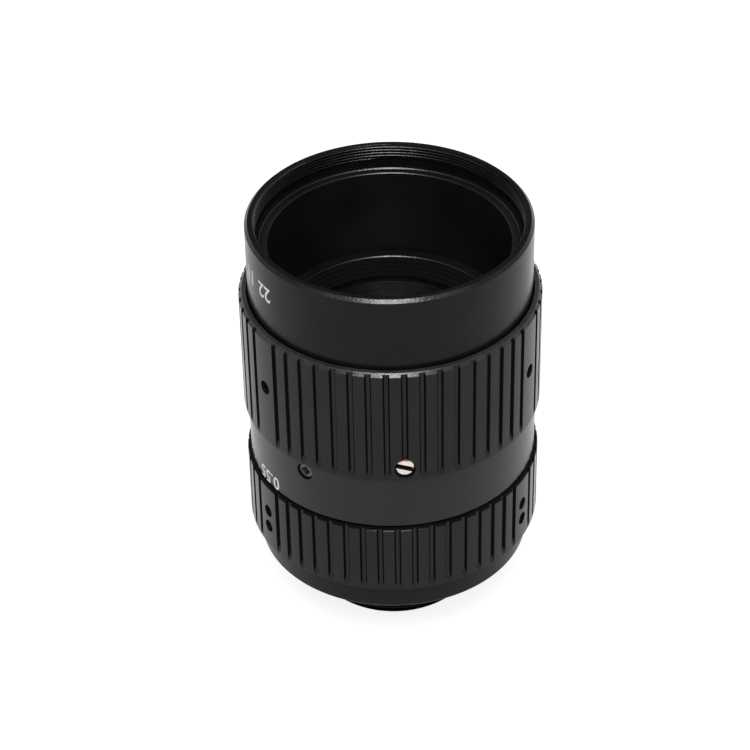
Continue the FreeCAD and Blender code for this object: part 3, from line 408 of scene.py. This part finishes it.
# The steep sides of the milled grooves and the wells of the cross-head screws: painted shade, a near
# black with almost no sheen that stands in for the shade deep in these narrow places: the blackest lines.
GROOVE_SIDE_SHADE = black_anodised("groove_sides_painted_shade", ("#060606", "#0a0a0a"), (0.60, 0.72),
                             0.04, 0.15, 0.006, 0)
# Broken edges: shinier than the faces beside them, so they sparkle in coarse specks under the lamp.
# Their slightly greyer colour is painted light on the edges.
EDGE = black_anodised("shiny_black_anodised_edges_painted_light", ("#131314", "#1d1d1e"), (0.18, 0.34),
                      0.62, 0.32, 0.035, 0)
# The front edge and top face of the iris grip: painted light, a lighter grey that stands in for the light
# these upward faces catch from the lamp.
GRIP_EDGE_PAINTED_LIGHT = black_anodised("black_anodised_grip_edge_painted_light", ("#29292a", "#3c3c3d"), (0.18, 0.34),
                           0.62, 0.32, 0.035, 0)
# Bored and flat black anodised: inside the lens. Tool marks run round, drawn every 0.3 mm.
FLAT = black_anodised("flat_black_anodised_aluminium", ("#101011", "#151516"), (0.40, 0.52),
                      0.22, 0.15, 0.006, 0.3)
# Matt black paint over turned steps: the ring in front of the glass, which must not reflect. The tool
# marks show through.
BAFFLE = black_anodised("matt_black_baffle_paint", ("#0c0c0d", "#111112"), (0.60, 0.72),
                        0.14, 0.12, 0.008, 0.3)


def turned_metal(name, colours, rough, marks):
    """Bare or thinly blackened metal, with fine marks of its tool that stretch its highlights."""
    material, tree, shader, place = finish(name, {"Metallic": 1.0})
    patches = speckle(tree, place, 1.2)
    colour = blend(tree, (patches, "Fac"), *colours)
    tree.links.new(colour.outputs[2], shader.inputs["Base Color"])
    fine = speckle(tree, place, marks, stretch=(1, 1, 6))
    roughness = range_of(tree, (fine, "Fac"), *rough)
    tree.links.new(roughness.outputs["Result"], shader.inputs["Roughness"])
    bump = add(tree, "ShaderNodeBump", {"Strength": 1.0, "Distance": 0.003 * MM},
               {"Height": (fine, "Fac")})
    tree.links.new(bump.outputs["Normal"], shader.inputs["Normal"])
    return material


# Nickel plated steel: the iris screw and the guide pins, pale and slightly warm.
BRIGHT = turned_metal("bright_plated_steel", ("#c9c5bd", "#dedbd4"), (0.22, 0.36), 0.12)
# Turned brass: the inner rings of both grips.
BRASS = turned_metal("turned_brass", ("#a98a4a", "#bf9f5c"), (0.25, 0.4), 0.2)
# Black oxide steel: the small screws. A thin oxide, so the steel's sheen comes through.
BLACK_STEEL = turned_metal("black_oxide_steel", ("#1a1b1d", "#26272a"), (0.3, 0.45), 0.15)
# The same steel, painted a lighter grey: the heads of the cross-head screws. The grey is painted light,
# standing in for light on heads that sit in shade below the band.
SCREW_HEAD_PAINTED_LIGHT = turned_metal("black_steel_heads_painted_light", ("#484847", "#5a5a57"), (0.3, 0.42), 0.12)
# Blackened spring steel sheet: the iris blades, matt with a faint rolling grain.
BLADE = turned_metal("blackened_spring_steel", ("#222326", "#2c2d30"), (0.42, 0.55), 0.3)


def coated_glass(name, colour, film):
    """Polished optical glass with a trace of dust.

    A film, in nanometres, tints what the glass reflects, and nought is no film.
    """
    material, tree, shader, place = finish(name, {
        "Base Color": linear(colour), "Metallic": 0.0, "IOR": 1.6, "Transmission Weight": 1.0,
        "Thin Film Thickness": film, "Thin Film IOR": 1.38})
    dust = speckle(tree, place, 1.5, detail=4.0)
    roughness = range_of(tree, (dust, "Fac"), 0.0, 0.03, 0.5, 0.8)
    tree.links.new(roughness.outputs["Result"], shader.inputs["Roughness"])
    return material


# The front glass reflects a plain grey, and the glasses behind it have a coating
FRONT_GLASS = coated_glass("polished_optical_glass", "#f2f4f3", 0.0)
GLASS = coated_glass("coated_optical_glass", "#f4f7f5", 118.0)


def painted(name, colours, rough, grain):
    """Paint, lacquer or wax: an even colour with small places where it is thin."""
    material, tree, shader, place = finish(name, {"Metallic": 0.0, "IOR": 1.5})
    wiped = speckle(tree, place, grain)
    colour = blend(tree, (wiped, "Fac"), *colours)
    tree.links.new(colour.outputs[2], shader.inputs["Base Color"])
    roughness = range_of(tree, (wiped, "Fac"), *rough)
    tree.links.new(roughness.outputs["Result"], shader.inputs["Roughness"])
    return material


# White filling paint of the dial numbers, matt
WHITE_PAINT = painted("white_filling_paint", ("#dadad8", "#efefec"), (0.5, 0.65), 0.4)
# Red thread-locking lacquer, glossy
RED_LACQUER = painted("red_locking_lacquer", ("#8f1c12", "#b32a1a"), (0.2, 0.35), 0.3)
# Painted shade: near black in the slot of the iris screw and in the crosses of the cross-head screws,
# where shade falls
SLOT_SHADE = painted("black_slot_painted_shade", ("#080706", "#120f0d"), (0.7, 0.9), 0.3)
# Black edge paint on the rim of each glass, which stops light from the side
EDGE_PAINT = painted("black_edge_paint", ("#0a0a0b", "#101012"), (0.5, 0.6), 0.4)


# Turned barrels

def mount_barrel():
    """The mount barrel with a cut camera thread, 32 turns to the inch, and its guide slots."""
    pitch = 25.4 / 32
    major = 12.7
    minor = major - 0.61 * pitch
    relief, neck, tail, boss, sleeve = 12.1, 15.0, 21.2, 17.1, 17.0
    bore, entry, sleeve_bore = 11.4, 0.25, 15.9
    foot, relief_top, neck_top, bore_top = -4.0, -0.6, 5.2, 6.8
    tail_top, boss_top, sleeve_top = 9.9, 13.0, 24.2
    bm = bmesh.new()
    spin(bm, wire(bm, [
        (minor, foot), (bore + entry, foot), (bore, foot + entry), (bore, bore_top),
        (sleeve_bore, bore_top), (sleeve_bore, sleeve_top), (sleeve, sleeve_top),
        (sleeve, boss_top), (boss, boss_top), (boss, tail_top), (tail, tail_top),
        (tail, neck_top + 0.35), (tail - 0.06, neck_top + 0.2), (tail - 0.2, neck_top + 0.06),
        (tail - 0.35, neck_top), (neck, neck_top), (neck, 0.15), (neck - 0.15, 0),
        (relief, 0), (relief, relief_top)], closed=False))
    weld(bm)
    soften(bm, 0.06, sharper_than=50, below=20)

    def surface(radius, height):
        if height <= foot:
            return minor
        if height >= relief_top:
            return relief
        cone = minor + (height - foot)
        run_out = relief + (relief_top - height)
        return min(radius, cone, run_out)

    helix(bm, major, minor, pitch, foot, relief_top, surface)
    weld(bm)
    # The guide slots in the sleeve
    slots = []
    for number in range(LANDS):
        turn = Matrix.Rotation(math.radians(120 * number - 90), 4, "Z")
        slots.append(("block", (8, 2.5, 10.0), turn @ Matrix.Translation((16.5, 0, 20.2))))
    bm = cut_by(bm, slots)
    piece = finished("mount_barrel_threaded", bm, "mount", [DEEP], ["mount_barrel"])
    round_normals(piece.data)


def front_barrel():
    """The front barrel with its fine filter thread, relief and bored floor."""
    base, floor_base, floor_top, relief_top = 46.2, 57.4, 59.6, 60.9
    tube_bore, floor_bore = 20.17, 19.31
    broken, lip, mouth = 0.16, 0.45, 0.3
    bm = bmesh.new()
    spin(bm, wire(bm, [
        (THREAD_ROOT, relief_top), (THREAD_ROOT, floor_top), (floor_bore + broken, floor_top),
        (floor_bore, floor_top - broken), (floor_bore, floor_base),
        (tube_bore, floor_base), (tube_bore, base), (FRONT_RADIUS - 0.1, base), (FRONT_RADIUS, base + 0.1),
        (FRONT_RADIUS, RIM - lip), (FRONT_RADIUS - lip, RIM), (THREAD_CREST + mouth, RIM)], closed=False))
    weld(bm)

    def surface(radius, height):
        if height <= relief_top:
            return THREAD_ROOT
        if height >= RIM:
            return THREAD_CREST + mouth
        cone = THREAD_CREST + mouth - (RIM - height)
        run_out = THREAD_ROOT - 3 * (height - relief_top)
        return max(radius, cone, run_out)

    helix(bm, THREAD_CREST, THREAD_ROOT, 0.5, relief_top, RIM, surface)
    weld(bm)
    edges_with_painted_light(bm, base)
    piece = finished("front_barrel_threaded", bm, "optical_barrel", [DEEP, EDGE],
                     ["front_barrel"])
    round_normals(piece.data)


def front_cell():
    """The deep cell in the front barrel, with the seats of the two front glasses."""
    base, second_seat, first_seat, top = 35.3, 35.9, 37.6, 59.42
    keeper_base = level("front_keeper", 0)
    outer, bore, first_bore, second_bore, hole = 19.2, 18.22, 15.75, 14.05, 11.0
    broken = 0.1
    bm = bmesh.new()
    spin(bm, wire(bm, [
        (hole, base), (outer, base), (outer, top), (bore + broken, top), (bore, top - broken),
        (bore, keeper_base), (first_bore, keeper_base), (first_bore, first_seat),
        (second_bore, first_seat), (second_bore, second_seat), (hole, second_seat)]))
    weld(bm)
    edges_with_painted_light(bm, top - 0.5)
    piece = finished("front_cell_bored", bm, "optical_barrel", [FLAT, EDGE], ["front_cell"])
    round_normals(piece.data)


def front_keeper():
    """The ring that holds the front glass, stepped down towards it, with two slots for a spanner."""
    base, top = level("front_keeper", 0), level("front_keeper", 1)
    narrow, wide, outer = 14.4, 16.5, 18.2
    broken = 0.12
    steps, lowest_step = 4, base + 0.3
    drop, widening = (top - lowest_step) / steps, (wide - narrow) / steps
    stairs = []
    for number in range(steps):
        step_level = lowest_step + drop * number
        stairs += [(narrow + widening * number, step_level), (narrow + widening * (number + 0.8), step_level)]
    profile = [(narrow, base), (outer, base), (outer, top), (wide + broken, top), (wide, top - broken)]
    bm = bmesh.new()
    spin(bm, wire(bm, profile + stairs[::-1]))
    weld(bm)
    edges_with_painted_light(bm, top - 0.1)
    slots = [("block", (4.0, 1.2, 1.2), Matrix.Translation((side * 18.0, 0, top))) for side in (1, -1)]
    bm = cut_by(bm, slots)
    piece = finished("front_keeper_coned", bm, "optical_barrel", [BAFFLE, EDGE],
                     ["front_keeper"])
    round_normals(piece.data)


def lens(name, node, rings, edge_radius, glass):
    """A polished glass turned from its profile, with a painted edge."""
    bm = bmesh.new()
    spin(bm, wire(bm, rings, closed=False), steps=120)
    weld(bm)
    for face in bm.faces:
        middle = face.calc_center_median()
        out = Vector((middle.x, middle.y, 0))
        if out.length > edge_radius - 0.3 and abs(face.normal.z) < 0.3:
            face.material_index = 1
    piece = finished(name, bm, "optical_barrel", [glass, EDGE_PAINT], [node])
    smooth_shading(piece.data)


def arc(curve, centre, reach, count):
    """Points of a spherical face from its rim to the axis."""
    points = []
    for number in range(count + 1):
        radius = reach * (1 - number / count)
        points.append((radius, centre + math.sqrt(curve * curve - radius * radius)))
    return points


def front_glass():
    """The front glass: flat behind, domed in front."""
    base, radius, curve, edge_top = 39.3, 15.7, 38.0, 42.2
    centre = edge_top - math.sqrt(curve ** 2 - radius ** 2)
    rings = [(0, base), (radius - 0.15, base), (radius, base + 0.15)]
    lens("front_glass_polished", "front_glass", rings + arc(curve, centre, radius, 24), radius, FRONT_GLASS)


def second_glass():
    """The second glass: hollow behind, domed in front."""
    base, radius, edge_top = 35.9, 14.0, 37.6
    front, hollow, mouth = 60.0, 26.0, 10.5
    centre = edge_top - math.sqrt(front ** 2 - radius ** 2)
    hollow_centre = base - math.sqrt(hollow ** 2 - mouth ** 2)
    rings = list(reversed(arc(hollow, hollow_centre, mouth, 18))) + [(radius, base)]
    lens("second_glass_polished", "second_glass", rings + arc(front, centre, radius, 20), radius, GLASS)


# Milled grips

def across_and_out(point, angle):
    """A point's distance across and out from the middle of a groove at an angle."""
    a = math.radians(angle)
    return point.x * math.cos(a) + point.y * math.sin(a), point.x * math.sin(a) - point.y * math.cos(a)


def grip_blank(outline, radius, cuts, foot):
    """A turned ring whose steps round the axis meet each groove's sides, with round groove feet drawn on."""
    half = GROOVE_WIDTH / 2
    land_step = 1.4  # degrees
    # Seven stops across a groove, closer together at its sides, so that its foot can be round
    across = [half * math.sin(math.radians(30 * k - 90)) for k in range(7)]
    groove_steps = [math.degrees(math.asin(x / radius)) for x in across]
    stops = []
    for place, following in zip(cuts, cuts[1:] + [cuts[0] + 360]):
        stops += [place + step for step in groove_steps]
        start, end = place + groove_steps[-1], following + groove_steps[0]
        count = max(3, round((end - start) / land_step))
        stops += [start + (end - start) * k / count for k in range(1, count)]
    stops.append(cuts[0] + 360 + groove_steps[0])
    bm = bmesh.new()
    ring = wire(bm, outline)
    to_start = Matrix.Rotation(math.radians(stops[0]), 3, "Z")
    bmesh.ops.rotate(bm, cent=(0, 0, 0), verts=bm.verts, matrix=to_start)
    for here, there in zip(stops, stops[1:]):
        ring = spin(bm, ring, math.radians(there - here), 1, merge=False)
    weld(bm)
    for place in cuts:
        for vert in bm.verts:
            aside, out = across_and_out(vert.co, place)
            if out > radius - 0.1 and abs(aside) < half - 0.01 and abs(vert.co.z - foot) < 0.01:
                vert.co.z = foot - math.sqrt(half * half - aside * aside)
    return bm


def mill_grooves(bm, radius, cuts, foot):
    """Sinks the grooves: their floors are narrower than their mouths and run out at the foot."""
    floors = []
    for place in cuts:
        region = []
        for face in bm.faces:
            middle = face.calc_center_median()
            aside, out = across_and_out(middle, place)
            upper = max(v.co.z for v in face.verts) > foot + 0.1
            outer = min(math.hypot(v.co.x, v.co.y) for v in face.verts) > radius - GROOVE_DEPTH - 0.01
            if out > 0 and abs(aside) < GROOVE_WIDTH / 2 and upper and outer and middle.z > foot:
                region.append(face)
        floors.append((place, region))
    for place, region in floors:
        points, _ = drawn_out(bm, region)
        a = math.radians(place)
        out_way = Vector((math.sin(a), -math.cos(a), 0))
        round_way = Vector((math.cos(a), math.sin(a), 0))
        for vert in points:
            vert.co += out_way * (radius - GROOVE_DEPTH - vert.co.dot(out_way))
            vert.co -= round_way * (1 - GROOVE_FLOOR) * vert.co.dot(round_way)
            if vert.co.z < foot + 0.01:
                vert.co.z += FOOT_RAMP
    weld(bm)


def grip(name, node, body, radius, base, top, edge, bores, land_angle, holes):
    """A grip ring: turned, with grooves milled from the front edge and screw holes in its lands.

    The edge is the width of its broken front edge, and the bores are its inner profile from the front.
    """
    base_edge = 0.12
    foot = base + GROOVE_FOOT + GROOVE_WIDTH / 2
    if edge > GROOVE_DEPTH:
        rim = [(radius - LIP_CUT, top - edge + LIP_CUT), (radius - edge, top)]
    else:
        rim = [(radius - edge, top), (radius - GROOVE_DEPTH, top)]
    outline = [(radius - base_edge, base), (radius, base + base_edge), (radius, foot), (radius, top - edge)]
    lands = [land_angle + 120 * i for i in range(LANDS)]
    cuts = sorted((land + PITCH_ANGLE * (i + 1)) % 360 for land in lands for i in range(GROOVES))
    bm = grip_blank(outline + rim + bores, radius, cuts, foot)
    mill_grooves(bm, radius, cuts, foot)
    bm = cut_by(bm, holes)
    # On the iris grip the second finish is painted light: a lighter grey on the front edge and top face
    if edge > GROOVE_DEPTH:
        edges_with_painted_light(bm, top - 0.5, top_too=True)
    # The steep groove sides take the third finish, near black: painted shade in the grooves
    for face in bm.faces:
        middle = face.calc_center_median()
        out = Vector((middle.x, middle.y, 0))
        side_on = abs(face.normal.dot(out.normalized())) < 0.6 and abs(face.normal.z) < 0.6
        if side_on and middle.to_2d().length > radius - GROOVE_DEPTH - 0.05:
            face.material_index = 2
    piece = finished(name, bm, body, [MILLED, GRIP_EDGE_PAINTED_LIGHT, GROOVE_SIDE_SHADE], [node])
    round_normals(piece.data)


def grips():
    """The two grips. Their holes flare a little at the mouth.

    The hole of the iris screw is wider and a little lower than its head, so that a gap shows below it.
    """
    holes = []
    for number in range(LANDS):
        place = outward_place(IRIS_LAND_ANGLE + 120 * number, IRIS_GRIP_RADIUS, 41.9)
        holes.append(("round", (1.075, 4.0, 0.08), place))
    holes.append(("round", (1.62, 4.0, 0.05), outward_place(SCREW_ANGLE, 22.86, SCREW_LEVEL - 0.07)))
    grip("iris_grip_milled", "iris_grip", "iris_ring", IRIS_GRIP_RADIUS, 31.65, 51.3, 0.5,
         [(21.75, 51.3), (21.75, 46.1), (21.22, 46.1), (21.22, 31.65)], IRIS_LAND_ANGLE, holes)
    holes = []
    for number in range(LANDS):
        for height in (14.0, 17.0):
            place = outward_place(FOCUS_LAND_ANGLE + 120 * number, FOCUS_GRIP_RADIUS, height)
            holes.append(("round", (1.0, 4.0, 0.08), place))
    grip("focus_grip_milled", "focus_grip", "focus_ring", FOCUS_GRIP_RADIUS, 10.0, 21.85, 0.14,
         [(20.92, 21.85), (20.92, 10.0)], FOCUS_LAND_ANGLE, holes)


# CAD pieces whose shape is right: copies with smooth shading and their finish

def smooth_copy(node, body, material, turned=True):
    """A copy of a CAD node with its points merged and its round faces shaded round."""
    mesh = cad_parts[node].data.copy()
    mesh.name = node + "_smooth"
    mesh.materials.clear()
    bm = bmesh.new()
    bm.from_mesh(mesh)
    bmesh.ops.remove_doubles(bm, verts=bm.verts, dist=WELD * MM)
    bm.to_mesh(mesh)
    bm.free()
    piece = piece_of(node + "_smooth", mesh, body, [material], [node])
    if turned:
        round_normals(mesh)
    else:
        smooth_shading(mesh)
    return piece


def second_finish_at_screws(piece, finish_there, reach, low, high):
    """Gives a piece's faces near the axes of the cross-head screws, between two depths, another finish."""
    piece.data.materials.append(finish_there)
    middle_level = (level("iris_base_screws", 0) + level("iris_base_screws", 1)) / 2
    places = [outward_place(BASE_SCREW_ANGLE + 120 * i, 0, middle_level).inverted() for i in range(LANDS)]
    for face in piece.data.polygons:
        for place in places:
            local = place @ (face.center / MM)
            if local.to_2d().length < reach and low < local.z < high:
                face.material_index = 1


def plain_pieces():
    """The other pieces keep their CAD shape.

    Two have a second finish, a near black that is painted shade: the wells of the cross-head screws in the
    band, and the screws' crosses.
    """
    turned = {
        "focus_keeper": ("mount", FLAT, "black_aluminium"),
        "helicoid_ring": ("focus_ring", BRASS, "brass_ring"),
        "iris_sleeve": ("iris_ring", BRASS, "brass_ring"),
        "front_spacer": ("optical_barrel", FLAT, "flat_black"),
        "iris_base": ("optical_barrel", FLAT, "flat_black"),
        "rear_cell": ("optical_barrel", FLAT, "flat_black"),
        "doublet_keeper": ("optical_barrel", FLAT, "flat_black"),
        "rear_keeper": ("optical_barrel", FLAT, "flat_black"),
        "cam_ring": ("iris_ring", FLAT, "flat_black"),
    }
    for node, (body, material, slot) in turned.items():
        smooth_copy(node, body, material)
    other = {
        "rear_doublet": ("optical_barrel", GLASS, "coated_glass"),
        "rear_glass": ("optical_barrel", GLASS, "coated_glass"),
        "guide_pins": ("optical_barrel", BRIGHT, "bright_steel"),
        "focus_set_screws": ("focus_ring", BLACK_STEEL, "black_steel"),
        "iris_set_screws": ("iris_ring", BLACK_STEEL, "black_steel"),
    }
    for node, (body, material, slot) in other.items():
        smooth_copy(node, body, material, turned=False)
    # A well's radius is 1.4, and a cross reaches 0.75 from its screw's axis and is 0.45 deep
    band = smooth_copy("main_barrel", "optical_barrel", SATIN)
    # Painted shade: the wells of the cross-head screws are near black
    second_finish_at_screws(band, GROOVE_SIDE_SHADE, 1.42, 20.8, 22.1)
    # The screw heads are a lighter grey: painted light on heads that sit in shade
    screws = smooth_copy("iris_base_screws", "optical_barrel", SCREW_HEAD_PAINTED_LIGHT, turned=False)
    # Painted shade: the screws' crosses are near black
    second_finish_at_screws(screws, SLOT_SHADE, 0.8, 21.35, 21.84)
    for number in range(1, 8):
        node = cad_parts[f"iris_blade_{number}"]
        node.data.materials.clear()
        node.data.materials.append(BLADE)


# Dial numbers

def number_plate(label, words, body, radius, angle, height, size):
    """White filled figures on a round barrel. They read with the camera end up, as on the real lens."""
    capital = 0.69  # a figure's height as a share of the font's size
    curve = bpy.data.curves.new(label, "FONT")
    curve.body = words
    curve.size = size / capital
    curve.align_x = "CENTER"
    curve.extrude = 0.03  # how far the paint stands out of the barrel
    curve.offset = 0.04  # makes the strokes thicker
    text = bpy.data.objects.new(label, curve)
    bpy.context.scene.collection.objects.link(text)
    graph = bpy.context.evaluated_depsgraph_get()
    mesh = bpy.data.meshes.new_from_object(text.evaluated_get(graph))
    bpy.data.objects.remove(text)
    bm = bmesh.new()
    bm.from_mesh(mesh)
    bpy.data.meshes.remove(mesh)
    # Long edges get points between, so that they follow the round barrel
    long = [e for e in bm.edges if e.calc_length() > 0.5]
    bmesh.ops.subdivide_edges(bm, edges=long, cuts=2)
    bmesh.ops.triangulate(bm, faces=bm.faces)
    for vert in bm.verts:
        a = math.radians(angle) - vert.co.x / radius
        out = radius + vert.co.z
        vert.co = Vector((out * math.sin(a), -out * math.cos(a), height + size - vert.co.y))
    weld(bm)
    piece = finished(label, bm, body, [WHITE_PAINT])
    smooth_shading(piece.data)


def dial_numbers():
    """Stop numbers over the iris ring's 40 degrees, distances over the focus ring's 150, and index lines."""
    iris_index, focus_index = -98.8, -208.7
    iris_turn, focus_turn = 40, 150
    focal_length, travel = 50, 5
    stops = ("22", "11", "5.6", "2.8")
    for number, words in enumerate(stops):
        label = "stop_number_" + words.replace(".", "_")
        angle = iris_index + iris_turn - iris_turn / (len(stops) - 1) * number
        number_plate(label, words, "optical_barrel", FRONT_RADIUS, angle, 56.7, 2.4)
    for words in ("0.55", "0.7", "1", "2", "5"):
        # Focused at a distance, a lens has moved out by f * f / (distance - f)
        moved = focal_length ** 2 / (float(words) * 1000 - focal_length)
        label = "distance_number_" + words.replace(".", "_")
        angle = focus_index + focus_turn * moved / travel
        number_plate(label, words, "optical_barrel", BAND_RADIUS, angle, 22.45, 2.2)
    number_plate("iris_index_line", "I", "iris_ring", IRIS_GRIP_RADIUS, iris_index, 48.6, 1.9)
    number_plate("focus_index_line", "I", "focus_ring", FOCUS_GRIP_RADIUS, focus_index, 19.6, 1.9)


# The iris screw with its locking lacquer

def iris_screw():
    """The bright slotted screw that drives the iris, turned a little, with painted shade, near black, in its
    slot.
    """
    head, neck, point_radius = 1.43, 0.95, 0.7
    point, neck_in, neck_out, head_in, face = 17.2, 20.3, 20.5, 21.3, 22.6
    deep, wide = 0.9, 0.84
    bm = bmesh.new()
    shape = [(0, point), (point_radius - 0.1, point), (point_radius, point + 0.1), (point_radius, neck_in),
             (neck, neck_out), (neck, head_in), (head, head_in), (head, face - 0.16),
             (head - 0.05, face - 0.06), (head - 0.16, face), (0, face)]
    spin(bm, wire(bm, shape, closed=False), steps=SMALL_STEPS)
    weld(bm)
    bm = cut_by(bm, [("block", (4, wide, 2 * deep), Matrix.Translation((0, 0, face)))])
    # The slot's faces take the near black of painted shade
    for slot_face in bm.faces:
        middle = slot_face.calc_center_median()
        if abs(middle.y) < wide / 2 + 0.01 and middle.z > face - deep - 0.01:
            slot_face.material_index = 1
    bmesh.ops.transform(bm, matrix=outward_place(SCREW_ANGLE, 0, SCREW_LEVEL, SCREW_TILT), verts=bm.verts)
    piece = finished("iris_drive_screw_slotted", bm, "iris_ring", [BRIGHT, SLOT_SHADE],
                     ["iris_drive_screw"])
    smooth_shading(piece.data, 20)


def lacquer():
    """Red lacquer run into the gap above the iris screw, with a drop at the end of its slot."""
    # Each drop's place across, up and out from the screw's middle, and its half width, height and depth
    drops = ((-0.05, 1.44, 22.56, 0.62, 0.12, 0.1),
             (0.1, 1.5, 22.66, 0.26, 0.2, 0.1),
             (0.16, 1.28, 22.58, 0.16, 0.16, 0.06),
             (1.16, -0.34, 22.3, 0.2, 0.2, 0.2))
    bm = bmesh.new()
    for across, up, out, wide, tall, deep in drops:
        drop = bmesh.ops.create_icosphere(bm, subdivisions=3, radius=1.0)["verts"]
        for vert in drop:
            swell = 1 + 0.12 * math.sin(5 * vert.co.x + 3 * across) + 0.1 * math.cos(7 * vert.co.y)
            vert.co = Vector((vert.co.x * wide * swell, vert.co.y * tall * swell, vert.co.z * deep))
        place = outward_place(SCREW_ANGLE, out, SCREW_LEVEL) @ Matrix.Translation((across, up, 0))
        bmesh.ops.transform(bm, matrix=place, verts=drop)
    piece = finished("iris_screw_lacquer", bm, "iris_ring", [RED_LACQUER])
    smooth_shading(piece.data, 80)


mount_barrel()
front_barrel()
front_cell()
front_keeper()
front_glass()
second_glass()
grips()
plain_pieces()
dial_numbers()
iris_screw()
lacquer()


# Studio: a pale floor, a grey room with a bright ceiling, and a soft lamp in front

def floor():
    """A pale floor that shows white to the camera, in metal and through glass, and keeps the shadow."""
    bm = bmesh.new()
    bmesh.ops.create_grid(bm, x_segments=8, y_segments=8, size=2500)
    bmesh.ops.translate(bm, vec=(0, 0, cad_box[0].z / MM), verts=bm.verts)
    bmesh.ops.scale(bm, vec=(MM, MM, MM), verts=bm.verts)
    mesh = bpy.data.meshes.new("floor")
    bm.to_mesh(mesh)
    bm.free()
    ground = bpy.data.objects.new("floor", mesh)
    bpy.context.scene.collection.objects.link(ground)
    material = bpy.data.materials.new("pale_floor")
    material.use_nodes = True
    tree = material.node_tree
    tree.nodes.clear()
    light = add(tree, "ShaderNodeLightPath")
    lit = add(tree, "ShaderNodeBsdfDiffuse", {"Color": linear("#e8e8e8")})
    shaded = add(tree, "ShaderNodeBsdfDiffuse", {"Color": linear("#a0a0a0")})
    white = add(tree, "ShaderNodeEmission", {"Strength": 0.86})
    shown = add(tree, "ShaderNodeAddShader", links={0: (shaded, 0), 1: (white, 0)})
    seen = add(tree, "ShaderNodeMath", {"operation": "ADD"},
               {0: (light, "Is Camera Ray"), 1: (light, "Is Glossy Ray")})
    seen = add(tree, "ShaderNodeMath", {"operation": "ADD", "use_clamp": True},
               {0: (seen, 0), 1: (light, "Is Transmission Ray")})
    mixed = add(tree, "ShaderNodeMixShader", links={0: (seen, 0), 1: (lit, 0), 2: (shown, 0)})
    add(tree, "ShaderNodeOutputMaterial", links={"Surface": (mixed, 0)})
    mesh.materials.append(material)


def room():
    """Walls that darken from the floor up, and a bright ceiling straight above."""
    world = bpy.data.worlds.new("grey_room")
    bpy.context.scene.world = world
    world.use_nodes = True
    tree = world.node_tree
    tree.nodes.clear()
    way = add(tree, "ShaderNodeTexCoord")
    parts = add(tree, "ShaderNodeSeparateXYZ", links={"Vector": (way, "Generated")})
    walls = range_of(tree, (parts, "Z"), 0.85, 0.18, 0.05, 0.4)
    ceiling = range_of(tree, (parts, "Z"), 0.0, 0.95, 0.74, 0.86)
    tone = add(tree, "ShaderNodeMath", {"operation": "MAXIMUM"},
               {0: (walls, "Result"), 1: (ceiling, "Result")})
    sky = add(tree, "ShaderNodeBackground", {"Strength": 1.0}, {"Color": (tone, 0)})
    add(tree, "ShaderNodeOutputWorld", links={"Surface": (sky, 0)})


def key_lamp():
    """A soft lamp in front, at the height at which the edges broken at 45 degrees shine at the camera."""
    data = bpy.data.lights.new("soft_key", "AREA")
    data.shape = "RECTANGLE"
    data.size = 0.34
    data.size_y = 0.3
    data.energy = 3.6
    lamp = bpy.data.objects.new("soft_key", data)
    bpy.context.scene.collection.objects.link(lamp)
    elevation, distance = math.radians(56), 0.8
    back = Vector((0, -math.cos(elevation), math.sin(elevation)))
    lamp.location = Vector((0, 0, 0.035)) + back * distance
    lamp.rotation_mode = "QUATERNION"
    lamp.rotation_quaternion = (-back).to_track_quat("-Z", "Y")


def camera():
    """The photograph's camera, found from the circles in it."""
    target = Vector((0, 0, 0.0377))
    elevation, distance = math.radians(36.64), 0.3913
    back = Vector((0, -math.cos(elevation), math.sin(elevation)))
    data = bpy.data.cameras.new("camera")
    data.sensor_width = 36.0
    data.lens = 122.2
    data.shift_x = -0.0219
    data.shift_y = -0.0251
    data.clip_start = 0.01
    data.clip_end = 20.0
    view = bpy.data.objects.new("camera", data)
    bpy.context.scene.collection.objects.link(view)
    view.location = target + back * distance
    view.rotation_mode = "QUATERNION"
    roll = Matrix.Rotation(math.radians(-0.89), 4, "Z").to_quaternion()
    view.rotation_quaternion = (-back).to_track_quat("-Z", "Y") @ roll
    bpy.context.scene.camera = view


floor()
room()
key_lamp()
camera()
bpy.context.scene.view_settings.view_transform = "Standard"
